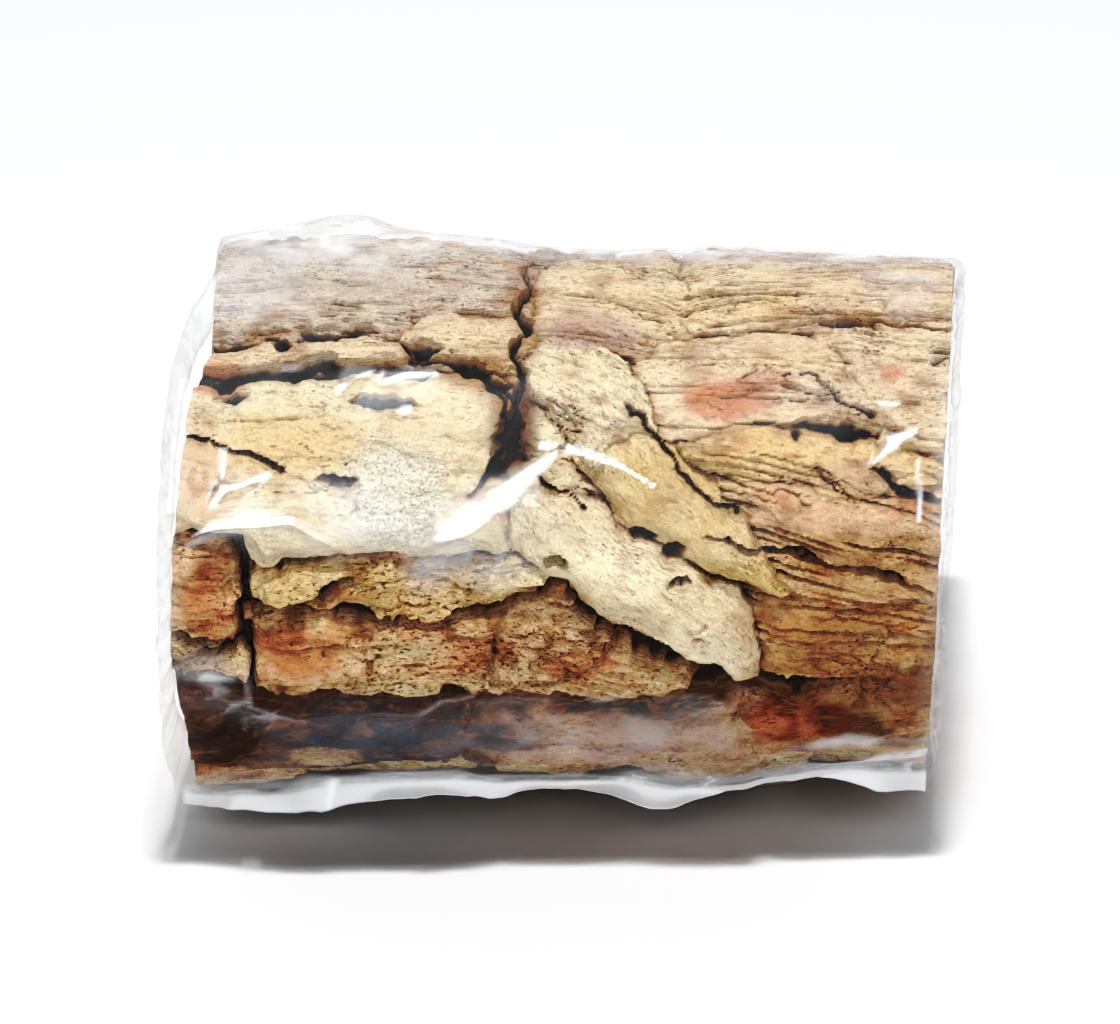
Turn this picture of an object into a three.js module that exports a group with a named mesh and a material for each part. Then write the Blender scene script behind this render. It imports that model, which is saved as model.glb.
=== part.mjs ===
// A short tube of virgin cork bark, cut from a branch and packed in clear shrink film.
// Millimetres, +Z up. The tube lies on its side along X. The origin is on the surface that it rests on,
// under the middle of the tube. The face that a viewer sees best looks to -Y and 30 degrees upwards.
import * as THREE from "three";

// Driving dimensions of the bark.
const LENGTH = 200;
const MEAN_RADIUS = 70; // turns an angle round the tube into a distance over the bark
const FLOOR_RADIUS = 62.5; // at the bottom of the open crevices
const BORE_RADIUS = 49;
const TAPER = 0.035; // the radius falls by this much for each millimetre along +X
const OVAL = { two: 1.2, twoTurn: 0.6, three: 0.8, threeTurn: -1.1 }; // waves in the round outline
const FOOT = { level: 0.25, tapered: 0.8 }; // angles from the line that it lies on, either side of it
const FACE_TILT = THREE.MathUtils.degToRad(30);
const CUT = { up: 4, front: -3.7 }; // how far both sawn ends lean along X, one radius up or to the front
const GIRTH = 2 * Math.PI * MEAN_RADIUS;

// Driving dimensions of the film, and how the two lie on each other.
const AXIS_HEIGHT = 72; // of the tube's axis above the resting surface
const AXIS_Y = -0.4; // puts the middle of the packed object's box over the origin
const FILM_THICKNESS = 0.6;
const FILM_GAP = 0.8; // from the bark's high points to the film
const FILM_OVERHANG = 3.2; // past each sawn end
const FILM_HOLE_RADIUS = 57; // the round opening left at each end when a sleeve of film shrinks
const FILM_END_GAP = 0.9; // from a sawn end to the film's hole
const FILM_CORNER = 5; // how far the film's rounded edge reaches round the bark's rim
const FILM_EDGE_SHARE = 0.93; // of the film's radius, where that edge turns into the sleeve

// How finely the solids are faceted.
const AROUND = 84;
const ALONG = 44;
const BORE_STEPS = 8;
const FILM_SKIP = 2; // the film takes every second point of the bark's grid
const FILM_SETTLE_ROUNDS = 260;
const FILM_REACH = 2; // grid steps over which the film's support is taken from the highest point

// Plates of the outer bark. x and s are the middle, along the tube and up round it from the viewer's line.
// length and width are whole sizes, tilt is in degrees, rise is the height over the crevices.
const PLATES = [
  { name: "top left", x: -56, s: 76, length: 84, width: 58, tilt: 0, rise: 10 },
  { name: "knob", x: -30, s: 50, length: 26, width: 18, tilt: 0, rise: 10 },
  { name: "blob", x: -59, s: 11, length: 86, width: 42, tilt: -3, rise: 12.5 },
  { name: "rim", x: -69, s: 41, length: 58, width: 10, tilt: 3, rise: 11 },
  { name: "left small", x: -95, s: -23, length: 19, width: 28, tilt: 0, rise: 9 },
  { name: "ledge", x: -47, s: -38, length: 76, width: 27, tilt: 0, rise: 11 },
  { name: "band", x: -45, s: -19, length: 80, width: 16, tilt: 3, rise: 9.5 },
  { name: "ledge right", x: 3, s: -43, length: 54, width: 22, tilt: -14, rise: 9.5 },
  { name: "foot left", x: -91, s: -70, length: 18, width: 36, tilt: 0, rise: 7 },
  { name: "foot middle", x: -55, s: -78, length: 54, width: 44, tilt: 0, rise: 6 },
  { name: "foot right", x: 9, s: -80, length: 70, width: 44, tilt: 0, rise: 8 },
  { name: "foot end", x: 70, s: -72, length: 52, width: 32, tilt: 5, rise: 9 },
  { name: "slope knob", x: 5, s: 29, length: 38, width: 24, tilt: -28, rise: 11 },
  { name: "slope upper", x: 31, s: 3, length: 66, width: 17, tilt: -42, rise: 11.5 },
  { name: "slope lower", x: 17, s: -20, length: 76, width: 18, tilt: -34, rise: 13 },
  { name: "grained", x: 71, s: -8, length: 68, width: 28, tilt: -17, rise: 9.5 },
  { name: "brown", x: 74, s: -37, length: 50, width: 28, tilt: -6, rise: 9 },
  { name: "upper right", x: 84, s: 37, length: 38, width: 36, tilt: -5, rise: 11 },
  { name: "upper middle", x: 42, s: 34, length: 50, width: 30, tilt: -4, rise: 9 },
  { name: "middle right", x: 59, s: 13, length: 54, width: 18, tilt: -14, rise: 10.5 },
  { name: "top middle", x: 9, s: 70, length: 42, width: 48, tilt: -8, rise: 9.5 },
  { name: "top right", x: 67, s: 73, length: 80, width: 30, tilt: 2, rise: 10 },
];
// Rows of plates that cover the back and the underside, drawn by a fixed rule.
const BACK_ROWS = {
  count: 9,
  from: 106,
  to: GIRTH - 104,
  reach: 112,
  start: { low: -132, spread: 30 },
  half: { low: 18, spread: 20 },
  shift: { low: -4, spread: 8 },
  fill: { low: 0.84, spread: 0.4 },
  tilt: { low: -9, spread: 18 },
  rise: { low: 7.5, spread: 4.5 },
  overlap: 2.1, // length of a plate over its half length, so that neighbours close up
};

// The shape of one plate.
const PLATE_ROUNDNESS = 2.6; // exponent of a plate's outline: 2 is an ellipse, more is squarer
const DOME = { fall: 0.12, power: 3, furthest: 1.5 }; // how a plate's top falls towards its edge
const SHOULDER = { low: 0.6, reach: 6 }; // height left at the very edge, and where the full height begins
const FLOOR = 1; // of the relief, over the crevices' base
const CREVICE = { reach: 3.2, depth: 0.75 }; // in half widths, and as a share of the height

// Random unevenness: its height, its grain along the tube, and its grain across or its waves round the tube.
const WANDER_X = { height: 7, along: 34, turns: 12, seed: 11, layers: 2, gain: 0.6 };
const WANDER_S = { height: 5, along: 30, turns: 14, seed: 21, layers: 2, gain: 0.6 };
const LUMPS = { height: 2.6, along: 30, across: 10, seed: 31, layers: 2, gain: 0.55 };
const BORE_WAVES = { height: 1.1, along: 70, turns: 7, seed: 101, layers: 2, gain: 0.5 };
const PLATE_STEP = 37.3; // moves the lumps on, so that no two plates have the same

// Open crevices: half the width, then points (x, s) along the line.
const CREVICES = [
  { half: 2.2, line: [[-100, 30], [-83, 34], [-65, 37], [-51, 35], [-37, 34]] },
  { half: 2.6, line: [[-12, 96], [-10, 78], [-12, 60], [-15, 46], [-12, 32], [-11, 20], [-18, 9], [-23, 5]] },
  { half: 1.5, line: [[-87, -8], [-84, -20], [-86, -36], [-83, -50]] },
  { half: 1.2, line: [[-85, -27], [-71, -24], [-61, -18], [-54, -26], [-35, -29], [-17, -27], [-5, -20], [5, -24]] },
  { half: 2.4, line: [[-104, -50], [-87, -54], [-61, -53], [-39, -57], [-3, -53], [23, -54], [41, -57], [59, -55],
    [73, -50]] },
  { half: 1.9, line: [[0, -20], [7, -26], [19, -37], [31, -45], [41, -53]] },
  { half: 1.0, line: [[43, 33], [55, 26], [67, 19], [81, 17], [89, 8], [97, -3]] },
];

// Places where the film stands off the bark: x and s of the middle, reach each way, and how far off.
const FILM_LIFTS = [
  { name: "loose shoulder", x: -62, s: 96, alongReach: 42, aroundReach: 26, off: 5 },
  { name: "tent peak", x: -4, s: 13, alongReach: 9, aroundReach: 7, off: 4 },
];
// The slack of the sleeve hangs as one fold along the front foot, deeper and shallower along X.
const SLACK_FOLD = {
  s: -106,
  aroundReach: 7,
  depths: [[-100, 4], [-60, 8.5], [-22, 6], [2, 2.5], [24, 8], [50, 1.5], [80, 4.5], [100, 6]],
};

// A repeatable random number from 0 to 1 for a lattice point.
function draw(i, j, seed) {
  let h = (Math.imul(i, 374761393) + Math.imul(j, 668265263) + Math.imul(seed, 974634777)) >>> 0;
  h = Math.imul(h ^ (h >>> 13), 1274126177) >>> 0;
  return ((h ^ (h >>> 16)) >>> 0) / 4294967295;
}

const fade = (t) => t * t * t * (t * (t * 6 - 15) + 10);
const wrap = (value, period) => value - period * Math.floor(value / period);
const { lerp, smoothstep } = THREE.MathUtils;

// Smooth random waves from -1 to 1. With a period, y repeats after that many units.
function waves(x, y, seed, period = 0) {
  const i = Math.floor(x);
  const j = Math.floor(y);
  const [low, high] = period ? [wrap(j, period), wrap(j + 1, period)] : [j, j + 1];
  const u = fade(x - i);
  const v = fade(y - j);
  const below = lerp(draw(i, low, seed), draw(i + 1, low, seed), u);
  const above = lerp(draw(i, high, seed), draw(i + 1, high, seed), u);
  return 2 * lerp(below, above, v) - 1;
}

// Waves with finer waves added on top, each layer twice as fine.
function roughness(x, y, seed, layers, gain, period = 0) {
  let total = 0;
  let weight = 0;
  for (let layer = 0; layer < layers; layer += 1) {
    const finer = 2 ** layer;
    const share = gain ** layer;
    total += share * waves(x * finer, y * finer, seed + 17 * layer, period * finer);
    weight += share;
  }
  return total / weight;
}

// Unevenness at a point: y is round the tube where the kind has turns, and across a plate otherwise.
function uneven({ height, along, across, turns = 0, seed, layers, gain }, x, y) {
  const row = turns ? (y / GIRTH) * turns : y / across;
  return height * roughness(x / along, row, seed, layers, gain, turns);
}

// The ruled rows of plates on the back.
function backPlates() {
  const rows = BACK_ROWS;
  const pitch = (rows.to - rows.from) / rows.count;
  const pick = ({ low, spread }, row, k, seed) => low + spread * draw(row, k, seed);
  const found = [];
  for (let row = 0; row < rows.count; row += 1) {
    const s = rows.from + (row + 0.5) * pitch;
    let x = pick(rows.start, row, 0, 5);
    for (let k = 1; x < rows.reach; k += 1) {
      const half = pick(rows.half, row, k, 6);
      found.push({
        name: "back",
        x: x + half,
        s: s + pick(rows.shift, row, k, 7),
        length: rows.overlap * half,
        width: pitch * pick(rows.fill, row, k, 8),
        tilt: pick(rows.tilt, row, k, 9),
        rise: pick(rows.rise, row, k, 10),
      });
      x += 2 * half;
    }
  }
  return found;
}

// The drawn plates and the ruled rows of the back together, with their angles worked out.
function allPlates() {
  return [...PLATES, ...backPlates()].map((plate) => {
    const turn = THREE.MathUtils.degToRad(plate.tilt);
    return { ...plate, cos: Math.cos(turn), sin: Math.sin(turn) };
  });
}

const plates = allPlates();

// How far a point lies from a plate's middle, as a share of the way to its edge, with the slope of that.
function reachIn(plate, x, s) {
  const dx = x - plate.x;
  const ds = wrap(s - plate.s + GIRTH / 2, GIRTH) - GIRTH / 2;
  const along = dx * plate.cos + ds * plate.sin;
  const across = ds * plate.cos - dx * plate.sin;
  const ends = plate.length / 2;
  const sides = plate.width / 2;
  const a = Math.abs(along / ends) + 1e-6;
  const b = Math.abs(across / sides) + 1e-6;
  const share = (a ** PLATE_ROUNDNESS + b ** PLATE_ROUNDNESS) ** (1 / PLATE_ROUNDNESS);
  const steep = share ** (1 - PLATE_ROUNDNESS);
  const slopeAlong = (Math.sign(along) * steep * a ** (PLATE_ROUNDNESS - 1)) / ends;
  const slopeAcross = (Math.sign(across) * steep * b ** (PLATE_ROUNDNESS - 1)) / sides;
  return {
    share,
    along,
    across,
    slopeX: slopeAlong * plate.cos - slopeAcross * plate.sin,
    slopeS: slopeAlong * plate.sin + slopeAcross * plate.cos,
  };
}

// Distance from a point to a line of points.
function distanceTo(line, x, s) {
  let nearest = Infinity;
  for (let k = 1; k < line.length; k += 1) {
    const [x0, s0] = line[k - 1];
    const ex = line[k][0] - x0;
    const es = line[k][1] - s0;
    const t = THREE.MathUtils.clamp(((x - x0) * ex + (s - s0) * es) / (ex * ex + es * es), 0, 1);
    nearest = Math.min(nearest, Math.hypot(x - x0 - t * ex, s - s0 - t * es));
  }
  return nearest;
}

// Height of the outer bark over the bottom of the crevices, at x along the tube and s round it.
function relief(x, s) {
  const bentX = x + uneven(WANDER_X, x, s);
  const bentS = s + uneven(WANDER_S, x, s);
  let first = { share: Infinity };
  let second = first;
  let own = null;
  let number = 0;
  plates.forEach((plate, k) => {
    const found = reachIn(plate, bentX, bentS);
    if (found.share < first.share) {
      second = first;
      first = found;
      own = plate;
      number = k;
    } else if (found.share < second.share) {
      second = found;
    }
  });
  const steepness = Math.hypot(second.slopeX - first.slopeX, second.slopeS - first.slopeS);
  const fromEdge = (second.share - first.share) / Math.max(steepness, 0.02);
  const offset = number * PLATE_STEP;
  const dome = own.rise * (1 - DOME.fall * Math.min(first.share, DOME.furthest) ** DOME.power);
  const lump = uneven(LUMPS, first.along + offset * LUMPS.along, first.across + offset * LUMPS.across);
  const shoulder = lerp(SHOULDER.low, 1, smoothstep(fromEdge, 0, SHOULDER.reach));
  let open = 0;
  for (const { half, line } of CREVICES) {
    open = Math.max(open, 1 - smoothstep(distanceTo(line, x, s), half, CREVICE.reach * half));
  }
  return FLOOR + (dome + lump - FLOOR) * shoulder * (1 - CREVICE.depth * open);
}

// Radius of the round outline under the relief. The taper leaves out the line that the tube lies on.
function baseRadius(x, angle) {
  const twoWaves = OVAL.two * Math.cos(2 * angle + OVAL.twoTurn);
  const threeWaves = OVAL.three * Math.cos(3 * angle + OVAL.threeTurn);
  const fromFoot = Math.PI - Math.abs(wrap(angle + FACE_TILT + Math.PI / 2, 2 * Math.PI) - Math.PI);
  const tapered = smoothstep(fromFoot, FOOT.level, FOOT.tapered);
  return FLOOR_RADIUS + twoWaves + threeWaves - TAPER * x * tapered;
}

// A point in space from a radius and an angle up from the viewer's line.
function place(x, radius, angle) {
  const up = angle + FACE_TILT;
  return new THREE.Vector3(x, AXIS_Y - radius * Math.cos(up), AXIS_HEIGHT + radius * Math.sin(up));
}

// Where a sawn end lies along X. side is -1 or 1, and share is the radius as a share of the mean.
function cutX(side, share, angle) {
  return (side * LENGTH) / 2 + share * (CUT.up * Math.sin(angle) + CUT.front * Math.cos(angle));
}

const angleAt = (i) => (2 * Math.PI * i) / AROUND;
const unrolled = (angle) => (wrap(angle + Math.PI, 2 * Math.PI) - Math.PI) * MEAN_RADIUS;

// Keeps a point at least this far over the resting surface, so that the underside has a flat spot.
function lifted(point, clearance) {
  point.z = Math.max(point.z, clearance);
  return point;
}

// Faces between two rings of points, split along each quad's shorter diagonal, so that ridges stay sharp.
// The numbers are those of the rings' first vertices. inward turns the faces round.
function band(ring, next, ringStart, nextStart, inward = false) {
  return ring.flatMap((point, i) => {
    const j = (i + 1) % ring.length;
    const [a, b, c, d] = [ringStart + i, ringStart + j, nextStart + i, nextStart + j];
    const straight = point.distanceTo(next[j]) < ring[j].distanceTo(next[i]);
    const faces = straight ? [a, c, d, a, d, b] : [a, c, b, b, c, d];
    return inward ? faces.reverse() : faces;
  });
}

// A geometry from rings of points and the faces between them.
function ringGeometry(rings, index) {
  const positions = new Float32Array(rings.flat().flatMap((p) => [p.x, p.y, p.z]));
  const geometry = new THREE.BufferGeometry();
  geometry.setAttribute("position", new THREE.BufferAttribute(positions, 3));
  geometry.setIndex(index);
  geometry.computeVertexNormals();
  return geometry;
}

// Outer radius of the bark on the grid, ring by ring from -X to +X.
function barkRadii() {
  return Array.from({ length: ALONG + 1 }, (_, k) =>
    Array.from({ length: AROUND }, (_, i) => {
      const angle = angleAt(i);
      const x = lerp(cutX(-1, 1, angle), cutX(1, 1, angle), k / ALONG);
      return baseRadius(x, angle) + relief(x, unrolled(angle));
    }),
  );
}

const boreRadius = (x, angle) => BORE_RADIUS + uneven(BORE_WAVES, x, angle * MEAN_RADIUS);

// The bark: outer skin, sawn end, bore and other sawn end, each a run of rings.
function barkGeometry(radii) {
  const ring = (pointAt) => Array.from({ length: AROUND }, (_, i) => pointAt(angleAt(i), i));
  const outer = radii.map((row, k) =>
    ring((angle, i) => {
      const x = lerp(cutX(-1, 1, angle), cutX(1, 1, angle), k / ALONG);
      return lifted(place(x, row[i], angle), FILM_THICKNESS + FILM_GAP);
    }),
  );
  const boreRing = (t) =>
    ring((angle) => {
      const share = BORE_RADIUS / MEAN_RADIUS;
      const x = lerp(cutX(-1, share, angle), cutX(1, share, angle), t);
      return place(x, boreRadius(x, angle), angle);
    });
  const bore = Array.from({ length: BORE_STEPS + 1 }, (_, k) => boreRing(1 - k / BORE_STEPS));
  const midway = (a, b) => a.map((p, i) => p.clone().lerp(b[i], 0.5));
  const rightEnd = midway(outer[ALONG], bore[0]);
  const leftEnd = midway(bore[BORE_STEPS], outer[0]);
  const rings = [...outer, rightEnd, ...bore, leftEnd];
  const index = rings.flatMap((here, r) => {
    const next = (r + 1) % rings.length;
    return band(here, rings[next], r * AROUND, next * AROUND);
  });
  return ringGeometry(rings, index);
}

// How far the slack fold stands out at x.
function foldDepth(x) {
  const { depths } = SLACK_FOLD;
  const k = THREE.MathUtils.clamp(depths.findIndex(([at]) => at > x), 1, depths.length - 1);
  const [x0, d0] = depths[k - 1];
  const [x1, d1] = depths[k];
  return lerp(d0, d1, smoothstep(x, x0, x1));
}

// What holds the film away from the bark at x and s, apart from the bark itself.
function filmLift(x, s) {
  let off = 0;
  for (const lift of FILM_LIFTS) {
    const away = Math.hypot((x - lift.x) / lift.alongReach, (s - lift.s) / lift.aroundReach);
    off = Math.max(off, lift.off * (1 - smoothstep(away, 0, 1)));
  }
  const fromFold = Math.abs(s - SLACK_FOLD.s) / SLACK_FOLD.aroundReach;
  return Math.max(off, foldDepth(x) * Math.max(0, 1 - fromFold));
}

// Radius of the film's inner face: a stretched skin that settles on the bark's high points.
function settledFilm(radii) {
  const held = radii.map((row, k) =>
    row.map((_, i) => {
      let high = 0;
      for (let dk = -FILM_REACH; dk <= FILM_REACH; dk += 1) {
        for (let di = -FILM_REACH; di <= FILM_REACH; di += 1) {
          const near = radii[THREE.MathUtils.clamp(k + dk, 0, ALONG)];
          high = Math.max(high, near[wrap(i + di, AROUND)]);
        }
      }
      const angle = angleAt(i);
      const x = lerp(-LENGTH / 2, LENGTH / 2, k / ALONG);
      return high + FILM_GAP + filmLift(x, unrolled(angle));
    }),
  );
  let film = held.map((row) => [...row]);
  const chord = Math.cos((2 * Math.PI) / AROUND); // a film pulled round the tube spans gaps in straight lines
  for (let round = 0; round < FILM_SETTLE_ROUNDS; round += 1) {
    film = film.map((row, k) =>
      row.map((_, i) => {
        const left = row[wrap(i - 1, AROUND)];
        const right = row[wrap(i + 1, AROUND)];
        const straight = (2 * left * right * chord) / (left + right);
        const before = film[Math.max(k - 1, 0)][i];
        const after = film[Math.min(k + 1, ALONG)][i];
        return Math.max(held[k][i], 0.5 * straight + 0.25 * (before + after));
      }),
    );
  }
  return film;
}

// One skin of the film, from the left hole over the sleeve to the right hole. out is its distance outwards.
function filmSkin(film, out) {
  const picked = Array.from({ length: AROUND / FILM_SKIP }, (_, i) => i * FILM_SKIP);
  const rows = Array.from({ length: ALONG / FILM_SKIP + 1 }, (_, k) => k * FILM_SKIP);
  const ring = (pointAt) => picked.map((i) => lifted(pointAt(angleAt(i), i), FILM_THICKNESS - out));
  const sleeve = rows.map((k) =>
    ring((angle, i) => {
      const x = lerp(cutX(-1, 1, angle), cutX(1, 1, angle), k / ALONG);
      return place(x, film[k][i] + out, angle);
    }),
  );
  const endRings = (side) => {
    const edge = film[side < 0 ? 0 : ALONG];
    const at = (share, past) =>
      ring((angle, i) => {
        const radius = lerp(FILM_HOLE_RADIUS, edge[i] + out, share);
        const x = cutX(side, radius / MEAN_RADIUS, angle) + side * (past + out);
        return place(x, radius, angle);
      });
    const corner = 1 - FILM_CORNER / (edge[0] - FILM_HOLE_RADIUS);
    return [at(0, FILM_END_GAP), at(corner, FILM_OVERHANG - 1), at(FILM_EDGE_SHARE, FILM_OVERHANG / 2)];
  };
  return [...endRings(-1), ...sleeve, ...endRings(1).reverse()];
}

// The film: an outer skin and an inner one, split into faces alike, and joined round the two holes.
function filmGeometry(film) {
  const outer = filmSkin(film, FILM_THICKNESS);
  const inner = filmSkin(film, 0);
  const across = AROUND / FILM_SKIP;
  const last = outer.length - 1;
  const index = [];
  for (let k = 0; k < last; k += 1) {
    const start = k * across;
    const innerStart = start + outer.length * across;
    index.push(...band(inner[k], inner[k + 1], start, start + across));
    index.push(...band(inner[k], inner[k + 1], innerStart, innerStart + across, true));
  }
  index.push(...band(outer[last], inner[last], last * across, (last + outer.length) * across));
  index.push(...band(inner[0], outer[0], outer.length * across, 0));
  return ringGeometry([...outer, ...inner], index);
}

const barkMaterial = new THREE.MeshStandardMaterial({ color: 0xc09a62, roughness: 0.92, metalness: 0 });
const filmMaterial = new THREE.MeshStandardMaterial({
  color: 0xf2f5f7,
  roughness: 0.12,
  metalness: 0,
  transparent: true,
  opacity: 0.25,
});

const radii = barkRadii();
const bark = new THREE.Mesh(barkGeometry(radii), barkMaterial);
bark.name = "cork_bark";
const film = new THREE.Mesh(filmGeometry(settledFilm(radii)), filmMaterial);
film.name = "film_wrap";

const corkBarkTube = new THREE.Group();
corkBarkTube.add(bark, film);

export default corkBarkTube;
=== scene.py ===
"""A short tube of virgin cork bark in clear shrink film, dressed and lit for a photograph.

The bark and the film are worked out in millimetres on the unrolled tube: x runs along it, and s runs up
round it from the line that a viewer looks at. Every finished mesh is in metres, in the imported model's frame.
"""

import logging
import math
from dataclasses import dataclass, field
from enum import Enum
from typing import Any, Iterator

import bmesh
import bpy
import numpy as np
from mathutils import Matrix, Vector


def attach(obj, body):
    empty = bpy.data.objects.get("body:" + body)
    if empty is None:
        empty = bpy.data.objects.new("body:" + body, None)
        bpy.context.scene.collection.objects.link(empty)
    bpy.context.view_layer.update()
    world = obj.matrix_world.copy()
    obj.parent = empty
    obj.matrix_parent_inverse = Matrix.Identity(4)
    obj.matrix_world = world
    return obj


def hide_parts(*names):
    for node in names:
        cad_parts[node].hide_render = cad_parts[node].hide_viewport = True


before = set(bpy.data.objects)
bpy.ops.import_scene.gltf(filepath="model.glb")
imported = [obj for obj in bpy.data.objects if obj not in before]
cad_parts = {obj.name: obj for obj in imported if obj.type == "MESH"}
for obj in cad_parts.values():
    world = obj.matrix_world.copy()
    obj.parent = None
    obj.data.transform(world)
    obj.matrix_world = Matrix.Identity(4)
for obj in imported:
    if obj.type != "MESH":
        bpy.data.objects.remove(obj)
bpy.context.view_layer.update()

LOG = logging.getLogger("cork_bark_tube")
MM = 0.001
Array = np.ndarray
Line = tuple[tuple[float, float], ...]
Rgba = tuple[float, float, float, float]
Three = tuple[float, float, float]

# Driving dimensions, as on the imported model.
LENGTH = 200.0
MEAN_RADIUS = 70.0
GIRTH = 2 * math.pi * MEAN_RADIUS
FLOOR_RADIUS = 62.5
BORE_RADIUS = 49.0
TAPER = 0.035
AXIS_Y = -0.4
AXIS_HEIGHT = 72.0
FACE_TILT = math.radians(30)


class Tone(Enum):
    """Colours of weathered cork, as red, green and blue from 0 to 255."""

    IVORY = (234, 220, 184)
    CREAM = (206, 182, 145)
    PALE = (210, 194, 156)
    YELLOW = (206, 174, 118)
    GREY = (180, 166, 150)
    SPECKLED = (204, 198, 180)
    TAN = (198, 161, 122)
    OLIVE = (196, 166, 108)
    BROWN = (148, 103, 66)
    RUST = (180, 103, 68)
    EMBER = (100, 36, 20)
    PINK = (166, 131, 115)
    ASH = (52, 56, 64)
    UMBER = (70, 32, 14)
    # Near-black: the bark's dark crust and pores, and also painted shade in crevices and hollows.
    CRUST_AND_SHADE = (32, 18, 11)
    SAWN = (172, 124, 84)
    LINING = (140, 84, 50)

    def linear(self) -> Array:
        """Return the colour in linear light, from 0 to 1."""
        value = np.array(self.value) / 255.0
        return np.where(value <= 0.04045, value / 12.92, ((value + 0.055) / 1.055) ** 2.4)

    def rgba(self) -> Rgba:
        """Return the linear colour with an alpha of 1, for a shader's socket."""
        red, green, blue = self.linear()
        return (float(red), float(green), float(blue), 1.0)


@dataclass(frozen=True)
class Plate:
    """One plate of the outer bark on the unrolled tube.

    x and s are its middle, length and width its whole sizes, tilt is in degrees, rise is its height over the
    crevices, ribs is how deep the long grooves in it are, parted is how far it has broken away from its
    neighbours, from 0 to 1, and calm is how smooth it has weathered, from 0 to 1.
    """

    x: float
    s: float
    length: float
    width: float
    tilt: float = 0.0
    rise: float = 10.0
    tone: Tone = Tone.CREAM
    ribs: float = 0.25
    parted: float = 0.5
    calm: float = 0.3


@dataclass(frozen=True)
class Crevice:
    """An open crevice: half its width, how deep it goes as a share, and the points of its line."""

    half: float
    depth: float
    line: Line


@dataclass(frozen=True)
class Spot:
    """An oval place on the unrolled tube: its middle, and its reach along the tube and round it."""

    x: float
    s: float
    along: float
    around: float

    def away(self, x: Array, s: Array) -> Array:
        """Give how far each point lies from the middle, as a share of the reach."""
        return np.hypot((x - self.x) / self.along, wrapped(s - self.s) / self.around)


@dataclass(frozen=True)
class Patch(Spot):
    """A stain or a worn place on the bark, with a ragged edge; a few of them are painted shade over crevices.
    """

    tone: Tone
    strength: float = 0.8


@dataclass(frozen=True)
class Unevenness:
    """Random waves: their height, their grain along and across, or how often they repeat round the tube."""

    height: float
    along: float
    seed: int
    across: float = 0.0
    turns: int = 0
    layers: int = 2
    gain: float = 0.5

    def at(self, x: Array, y: Array) -> Array:
        """Give the height of the waves at each point.

        Args:
            x: Distance along the grain.
            y: Distance round the tube where the waves have turns, and across the grain otherwise.

        Returns:
            The height at each point.
        """
        row = y / GIRTH * self.turns if self.turns else y / self.across
        return self.height * roughness(x / self.along, row, self.seed, self.layers, self.gain, self.turns)


WANDER_X = Unevenness(height=7.0, along=34, turns=12, seed=11, gain=0.6)
WANDER_S = Unevenness(height=5.0, along=30, turns=14, seed=21, gain=0.6)
LUMPS = Unevenness(height=2.6, along=30, across=10, seed=31, gain=0.55)
BORE_WAVES = Unevenness(height=1.1, along=70, turns=7, seed=101)
BORE_GRAIN = Unevenness(height=0.25, along=40, turns=90, seed=161, layers=3, gain=0.6)

# How far apart on the lattice each plate's own waves are drawn, and a distance beyond everything.
PLATE_STEP = 37.3
FAR = 1e9

PLATES = (
    Plate(-56, 76, 84, 58, 0, 10, Tone.GREY, 0.4, 0.35, calm=0.4),
    Plate(-30, 50, 26, 18, 0, 10, Tone.CREAM, 0.3, 0.4, calm=0.75),
    Plate(-59, 11, 86, 42, -3, 12.5, Tone.PALE, 0.1, 0.6, calm=0.9),
    Plate(-69, 41, 58, 10, 3, 11, Tone.CREAM, 0.3, 0.5, calm=0.5),
    Plate(-95, -23, 19, 28, 0, 9, Tone.TAN, 0.4, 0.6, calm=0.3),
    Plate(-47, -38, 76, 27, 0, 11, Tone.TAN, 0.7, 0.55, calm=0.05),
    Plate(-45, -19, 80, 16, 3, 9.5, Tone.YELLOW, 0.5, 0.4, calm=0.15),
    Plate(3, -43, 54, 22, -14, 9.5, Tone.TAN, 0.7, 0.4, calm=0.1),
    Plate(-91, -70, 18, 36, 0, 7, Tone.UMBER, 0.4, 0.5, calm=0.2),
    Plate(-55, -78, 54, 44, 0, 6, Tone.ASH, 0.3, 0.4, calm=0.2),
    Plate(9, -80, 70, 44, 0, 8, Tone.PINK, 0.4, 0.3, calm=0.5),
    Plate(70, -72, 52, 32, 5, 9, Tone.BROWN, 0.5, 0.5, calm=0.2),
    Plate(5, 29, 38, 24, -28, 11, Tone.PALE, 0.3, 0.4, calm=0.6),
    Plate(31, 3, 66, 17, -42, 11.5, Tone.OLIVE, 0.1, 0.05, calm=0.95),
    Plate(17, -20, 76, 18, -34, 13, Tone.PALE, 0.15, 0.25, calm=0.8),
    Plate(71, -8, 68, 28, -15, 9.5, Tone.TAN, 1.1, 0.05, calm=0.7),
    Plate(74, -37, 50, 28, -8, 9, Tone.BROWN, 0.9, 0.1, calm=0.5),
    Plate(84, 37, 38, 36, -5, 11, Tone.CREAM, 0.3, 0.3, calm=0.4),
    Plate(42, 34, 50, 30, -4, 9, Tone.CREAM, 0.4, 0.2, calm=0.65),
    Plate(59, 13, 54, 18, -14, 10.5, Tone.YELLOW, 0.55, 0.2, calm=0.6),
    Plate(9, 70, 42, 48, -8, 9.5, Tone.CREAM, 0.45, 0.3, calm=0.6),
    Plate(67, 73, 80, 30, 2, 10, Tone.CREAM, 0.6, 0.3, calm=0.55),
)

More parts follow.
